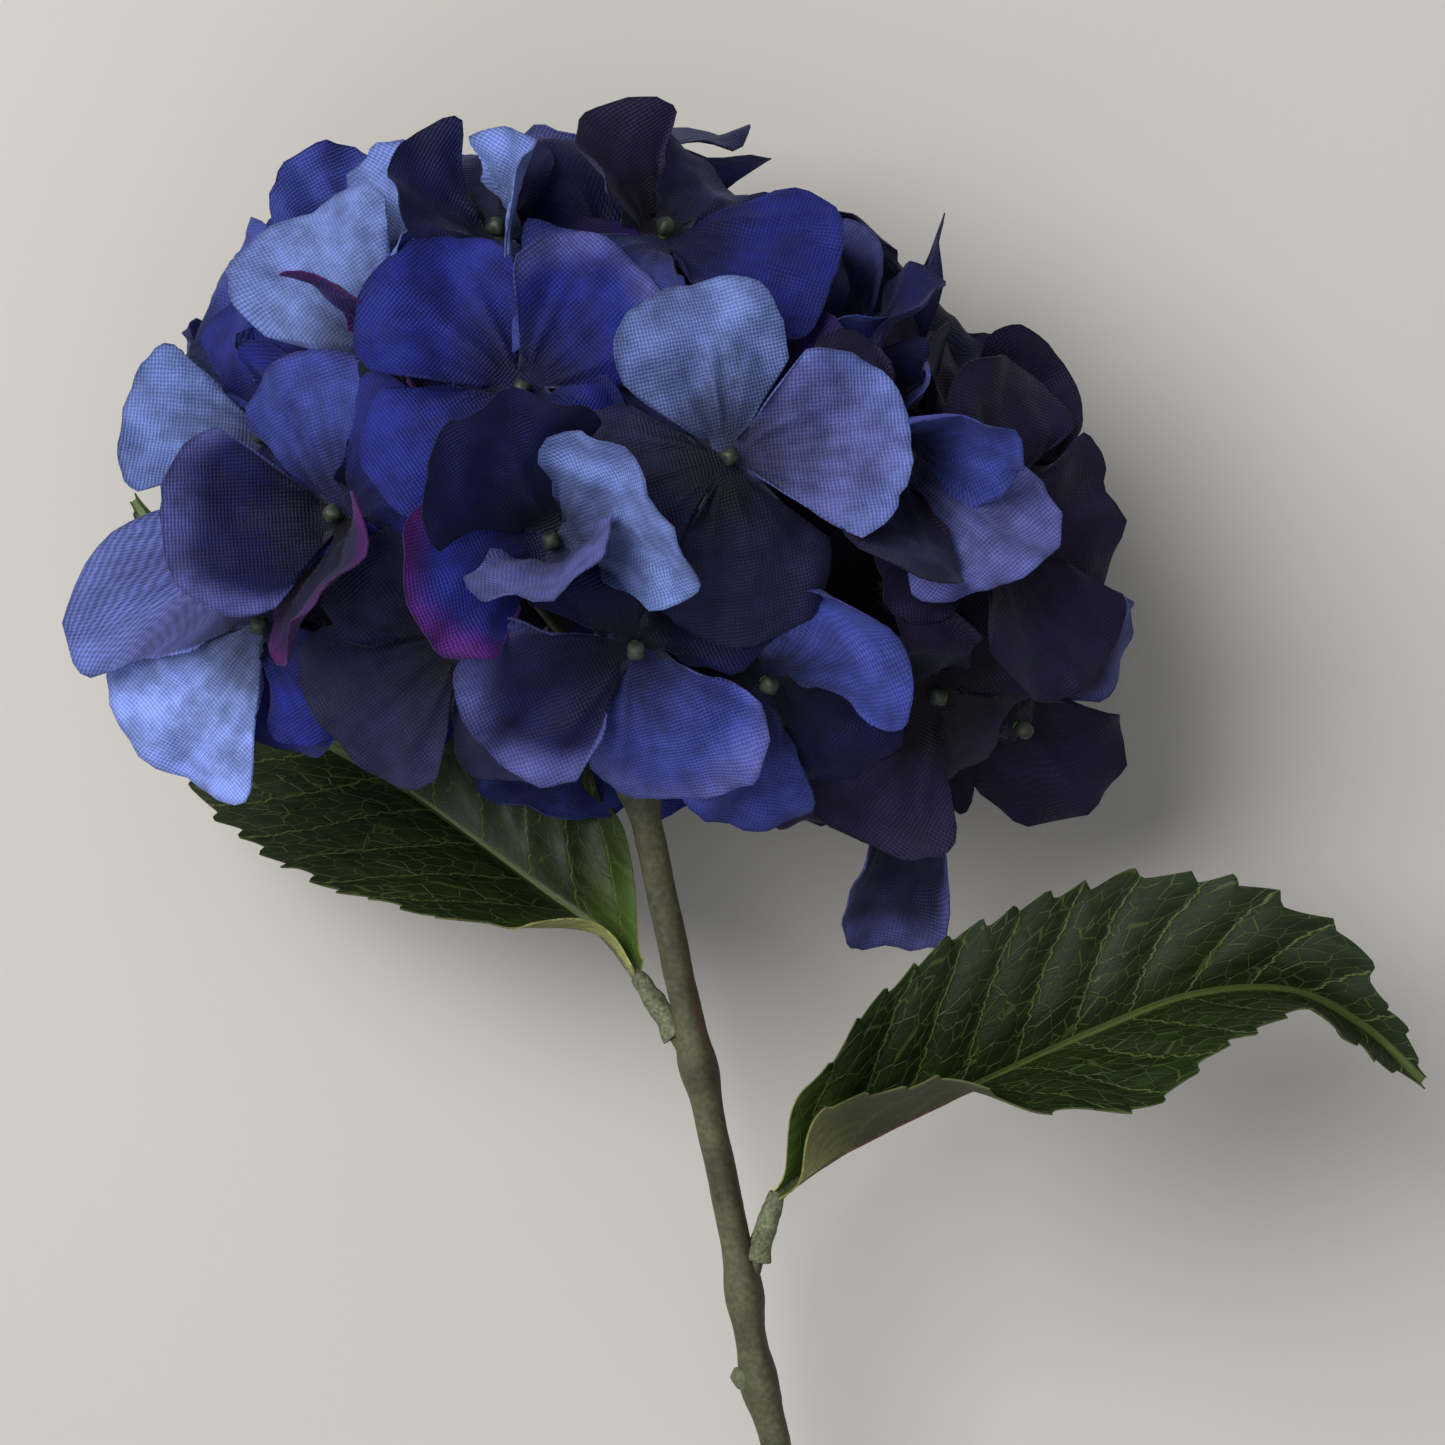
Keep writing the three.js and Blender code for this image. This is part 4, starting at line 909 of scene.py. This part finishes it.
def spray_ends(spray):
    """Where a spray's stalk leaves the socket, and where it forks."""
    if spray == SPRAY_COUNT:
        return RIM.copy(), in_head([0, 0.25, 0])
    angle = math.radians(SPRAY_ANGLE * spray)
    start = RIM + STALK_RING * (socket_front * math.cos(angle) + socket_side * math.sin(angle))
    return start, in_head([FORK_SHARE * math.sin(angle), -0.1, FORK_SHARE * math.cos(angle)])


def add_pedicel(shape, floret, fork):
    """A thin stalk with a small calyx below the cloth and a bead on it."""

    def axis(height):
        return floret.centre + floret.normal * height

    under = CLOTH / 2 + SEAT
    foot = -under - CALYX_LENGTH
    line = Line([fork, axis(foot - 2 * CALYX_LENGTH), axis(foot), axis(-under)])
    add_bar(shape, line, lambda s: PEDICEL_RADIUS * (0.75 + 0.25 * (1 - s)), DEEP_GREEN, 24, 10)
    add_turned(shape, axis(foot), floret.normal, CALYX, DEEP_GREEN * 1.5, 14)
    add_turned(shape, axis(-under), floret.normal, [(0, NECK_RADIUS), (2 * under, NECK_RADIUS)],
               DEEP_GREEN, 10)
    # the bead: four lobes, as the closed bud in a floret's eye
    tall = BEAD_RADIUS * 1.05
    ring, angle = circle(floret.right, floret.up, BEAD_SIDES)
    rows = []
    for step in np.linspace(0, math.pi, BEAD_ROWS):
        lobes = 1 + 0.13 * np.cos(4 * angle + floret.number) * math.sin(step) ** 2
        reach = lobes * BEAD_RADIUS * max(math.sin(step), 0.02)
        rows.append(axis(under + tall - tall * math.cos(step)) + ring * reach[:, None])
    tint = EYE_GREEN * floret.rng.uniform(0.7, 1.6)
    shape.add(rows, grid_faces(BEAD_ROWS, BEAD_SIDES, closed=True), tint, np.array(rows)[..., :2])


def spray_piece(spray, florets, plastic):
    start, fork = spray_ends(spray)
    shape = Shape()
    grip = stem_top * (SOCKET_DEPTH - GAP)
    stalk = Line([start - grip, start, start + stem_top * SOCKET_DEPTH / 2, fork])
    add_bar(shape, stalk, STALK_RADIUS, DEEP_GREEN, 24, 12)
    knob = straight(fork, stem_top, -KNOB_HALF, KNOB_HALF)
    add_bar(shape, knob, lambda s: 0.9 + 0.7 * np.sin(np.pi * np.clip(s, 0.05, 0.95)), DEEP_GREEN, 8, 12)
    for floret in florets:
        if spray_of(floret) == spray:
            add_pedicel(shape, floret, fork)
    name = f"spray_{spray + 1}"
    return shape.piece(name + "_moulding", [plastic], name, sharp=45)


# ---- Leaves ----
LEAVES = {
    "right": dict(
        node=RIGHT_NODE, out=RIGHT_OUT, seed=3,
        midrib=[(0, 0, 0), (.086, .06, .032), (.17, .106, .056), (.313, .176, .079), (.454, .242, .095),
                (.596, .294, .095), (.74, .298, .079), (.844, .246, .056), (.934, .166, .032)],
        right_rises=[80, 118, 105, 75, 62, 70, 80, 60, 20], left_rises=[60, 42, 28, 20, 16, 15, 20, 20, 5]),
    "left": dict(
        node=LEFT_NODE, out=LEFT_OUT, seed=5,
        midrib=[(0, 0, 0), (-.04, .05, -.035), (-.15, .13, -.08), (-.24, .195, -.11),
                (-.34, .265, -.14), (-.545, .39, -.205), (-.68, .565, -.245), (-.77, .705, -.27)],
        right_rises=[40, 20, 4, -4, -10, -8, -4, 0, 0], left_rises=[100, 62, 50, 40, 35, 30, 20, 10, 0]),
}
PETIOLE_END = PEG_ROOT + COLLAR_LENGTH
LEAF_OUTLINE = [0.12, 0.7, 0.93, 1, 0.98, 0.9, 0.74, 0.5, 0.2, 0.03]
LEAF_LEAN = 0.25
TOOTH, TOOTH_GAP = 1.9, 6.2  # a tooth's height and length along the leaf's edge
LEAF_CLOTH = 0.35
EDGE_TINT, FOOT_TINT = np.array([2.0, 1.8, 1.5]), np.array([7.0, 5.6, 5.5])  # times the blade's green


def leaf_line(leaf):
    base = stem_line.at(leaf["node"]) + leaf["out"] * PETIOLE_END
    return Line(np.array(leaf["midrib"]) * LEAF_LENGTH + base)


def leaf_frame(line, share):
    along = line.tangent(share)
    right = unit(np.cross(along, [0, 0, 1]))
    return along, right, np.cross(right, along)


def leaf_grid(leaf, rows=170, columns=41):
    """The blade's mid surface, with its teeth and its pillows between side veins."""
    rng = np.random.default_rng(leaf["seed"])
    line = leaf_line(leaf)
    u, v = np.meshgrid(np.linspace(0, 1, rows), np.linspace(-1, 1, columns), indexing="ij")
    share = u[:, 0]
    along, right, up = (way[:, None] for way in leaf_frame(line, share))
    is_right = v < 0
    right_rise, left_rise = (through(leaf[name], share)[:, None] for name in ("right_rises", "left_rises"))
    rise = np.radians(np.where(is_right, right_rise, left_rise))
    plain = LEAF_WIDTH / 2 * through(LEAF_OUTLINE, share)[:, None]
    length = u * LEAF_LENGTH
    place = length / TOOTH_GAP + np.where(is_right, 0.4, 0) + 0.25 * ripple(rng, length, v, scale=30)
    tooth = place - np.floor(place)
    saw = np.where(tooth < 0.8, tooth / 0.8, (1 - tooth) / 0.2) ** 1.3
    toothed = smooth(0.06, 0.16, u) * np.abs(v) ** 6
    aside = np.abs(v) * plain + TOOTH * toothed * (saw - 0.5) * np.minimum(1, plain / 12)
    veins = (length - 0.55 * aside - 0.006 * aside ** 2) / VEIN_GAP
    off_vein = np.abs((veins % 1) - 0.5) * 2
    round_top = np.sin(np.pi / 2 * np.clip(off_vein, 0, 1))
    pillow = round_top * smooth(1, 8, aside) * (1 - 0.6 * np.abs(v) ** 3)
    waves = 1.1 * ripple(rng, length, v * 9, scale=34) * np.abs(v) ** 2
    height = pillow + waves - 0.6 * np.exp(-(aside / 1.4) ** 2)
    lean = aside * LEAF_LEAN * (1 - u) + 1.2 * toothed * saw
    sign = np.where(is_right, 1, -1)
    points = (line.at(share)[:, None] + along * lean[..., None]
              + right * (sign * (aside * np.cos(rise) - height * np.sin(rise)))[..., None]
              + up * (aside * np.sin(rise) + height * np.cos(rise))[..., None])
    points[..., 2] = np.maximum(points[..., 2], LEAF_CLOTH / 2 + TABLE_GAP)
    flat = np.stack([veins, v * plain], -1)
    edge = smooth(0.93, 1.0, np.abs(v))
    lime = 1 - smooth(0.02, 0.16, u)
    tint = mix(np.ones(3), EDGE_TINT, (0.2 * edge)[..., None])
    tint = mix(tint, FOOT_TINT, lime[..., None])
    return points, flat, tint


def leaf_blade(side, leaf, top, under):
    points, flat, tint = leaf_grid(leaf)
    shape = Shape()
    add_sheet(shape, points, tint, flat, LEAF_CLOTH, slots=(0, 1))
    return shape.piece(f"leaf_{side}_cloth", [top, under], f"leaf_blade_{side}", sharp=60)


def leaf_rib(side, leaf, plastic):
    """Collar, petiole and the rib under the blade."""
    rng = np.random.default_rng(leaf["seed"] + 20)
    line = leaf_line(leaf)
    root = stem_line.at(leaf["node"])
    drop = 0.5 + RIB_RADIUS
    shares = np.linspace(0, 0.88, 11)[1:]
    up = leaf_frame(line, shares)[2]
    under = line.at(shares) - up * drop
    reaches = (PEG_ROOT + PEG_LENGTH + 2 * GAP, PETIOLE_END - 1)
    points = [*(root + leaf["out"] * reach for reach in reaches), *under]
    shape = Shape()
    brown = BROWN * 2.2
    add_bar(shape, Line(points), lambda s: RIB_RADIUS * mix(1.5, 0.6, np.sqrt(s)),
            lambda s, ring: mix(GREY_GREEN, brown, smooth(0.06, 0.2, s)[..., None]), 90, 14,
            lumps=lambda length, angle: 0.06 * ripple(rng, length, angle * 2, scale=6))
    sleeve = straight(root, leaf["out"], PEG_ROOT, PETIOLE_END)

    def ragged(length, angle):
        foot = 0.45 * np.exp(-(length / 1.6) ** 2) * (1 + np.sin(2 * angle + 1))
        return foot + 0.2 * ripple(rng, length, angle * 2, scale=3.5)

    add_bar(shape, sleeve, lambda s: mix(PEG_RADIUS + GAP + COLLAR_WALL, RIB_RADIUS * 1.5, s ** 3) + 0.1,
            GREY_GREEN * 1.1, 44, 24, lumps=ragged)
    return shape.piece(f"leaf_{side}_rib", [plastic], f"leaf_rib_{side}", sharp=70)


# ---- Everything on the table ----
TABLE_REACH = 3.0  # in metres, from the middle to each side


def build():
    cloth = petal_cloth()
    florets = all_florets()
    layer(florets)
    for floret in florets:
        floret.build(cloth)
    stem_piece(moulded("stem_plastic", 0.6, 0.12, 1.0))
    wire_piece(drawn_steel())
    spray_plastic = moulded("spray_plastic", 0.55, 0.06, 1.5)
    for spray in range(SPRAY_COUNT + 1):
        spray_piece(spray, florets, spray_plastic)
    top = leaf_cloth("leaf_cloth_top", (0.013, 0.028, 0.005), (0.120, 0.165, 0.042), 0.4, 0.12, 0.08)
    under = leaf_cloth("leaf_cloth_under", (0.060, 0.074, 0.024), (0.11, 0.125, 0.04), 0.65, 0.0, 0.08)
    rib_plastic = moulded("rib_plastic", 0.7, 0.3, 1.6, fleck=0.4)
    for side, leaf in LEAVES.items():
        leaf_blade(side, leaf, top, under)
        leaf_rib(side, leaf, rib_plastic)


def add_light(name, place, aim, size, power, colour):
    lamp = bpy.data.lights.new(name, "AREA")
    lamp.shape = "DISK"
    lamp.size = size
    lamp.energy = power
    lamp.color = colour
    made = add_object(name, lamp)
    made.location = place
    made.rotation_euler = (Vector(aim) - Vector(place)).to_track_quat("-Z", "Y").to_euler()


def studio():
    floor = bpy.data.meshes.new("table_top")
    corners = ((-1, -1), (1, -1), (1, 1), (-1, 1))
    floor.from_pydata([(TABLE_REACH * x, TABLE_REACH * y, 0) for x, y in corners], [], [(0, 1, 2, 3)])
    floor.materials.append(table_top())
    add_object("table_top", floor)
    head = Vector((np.array([0, 0, 50]) + SHIFT) * MM)
    add_light("window", head + Vector((-0.72, 0.42, 1.3)), head, 1.1, 26, (1.0, 0.985, 0.96))
    add_light("sky", head + Vector((-0.2, -0.9, 1.6)), head, 1.8, 7, (0.95, 0.97, 1.0))
    world = bpy.data.worlds.new("room")
    world.use_nodes = True
    sky = world.node_tree.nodes["Background"]
    sky.inputs["Color"].default_value = (0.93, 0.94, 1.0, 1)
    sky.inputs["Strength"].default_value = 0.3
    bpy.context.scene.world = world


# The camera looks straight down on the stem.
CAMERA_HEIGHT, SENSOR = 800, 36
CAMERA_ASIDE, CAMERA_BELOW = 21.8, 43.1  # from the head's middle
VIEW_WIDTH, VIEW_LEVEL = 245.65, 100  # the frame's width at a height above the table


def camera():
    eye = bpy.data.cameras.new("camera")
    eye.sensor_width = SENSOR
    eye.lens = SENSOR * (CAMERA_HEIGHT - VIEW_LEVEL) / VIEW_WIDTH
    made = add_object("camera", eye)
    made.location = (np.array([CAMERA_ASIDE, -CAMERA_BELOW, CAMERA_HEIGHT]) + SHIFT) * MM
    bpy.context.scene.camera = made


camera()
build()
studio()
bpy.context.scene.view_settings.view_transform = "Standard"
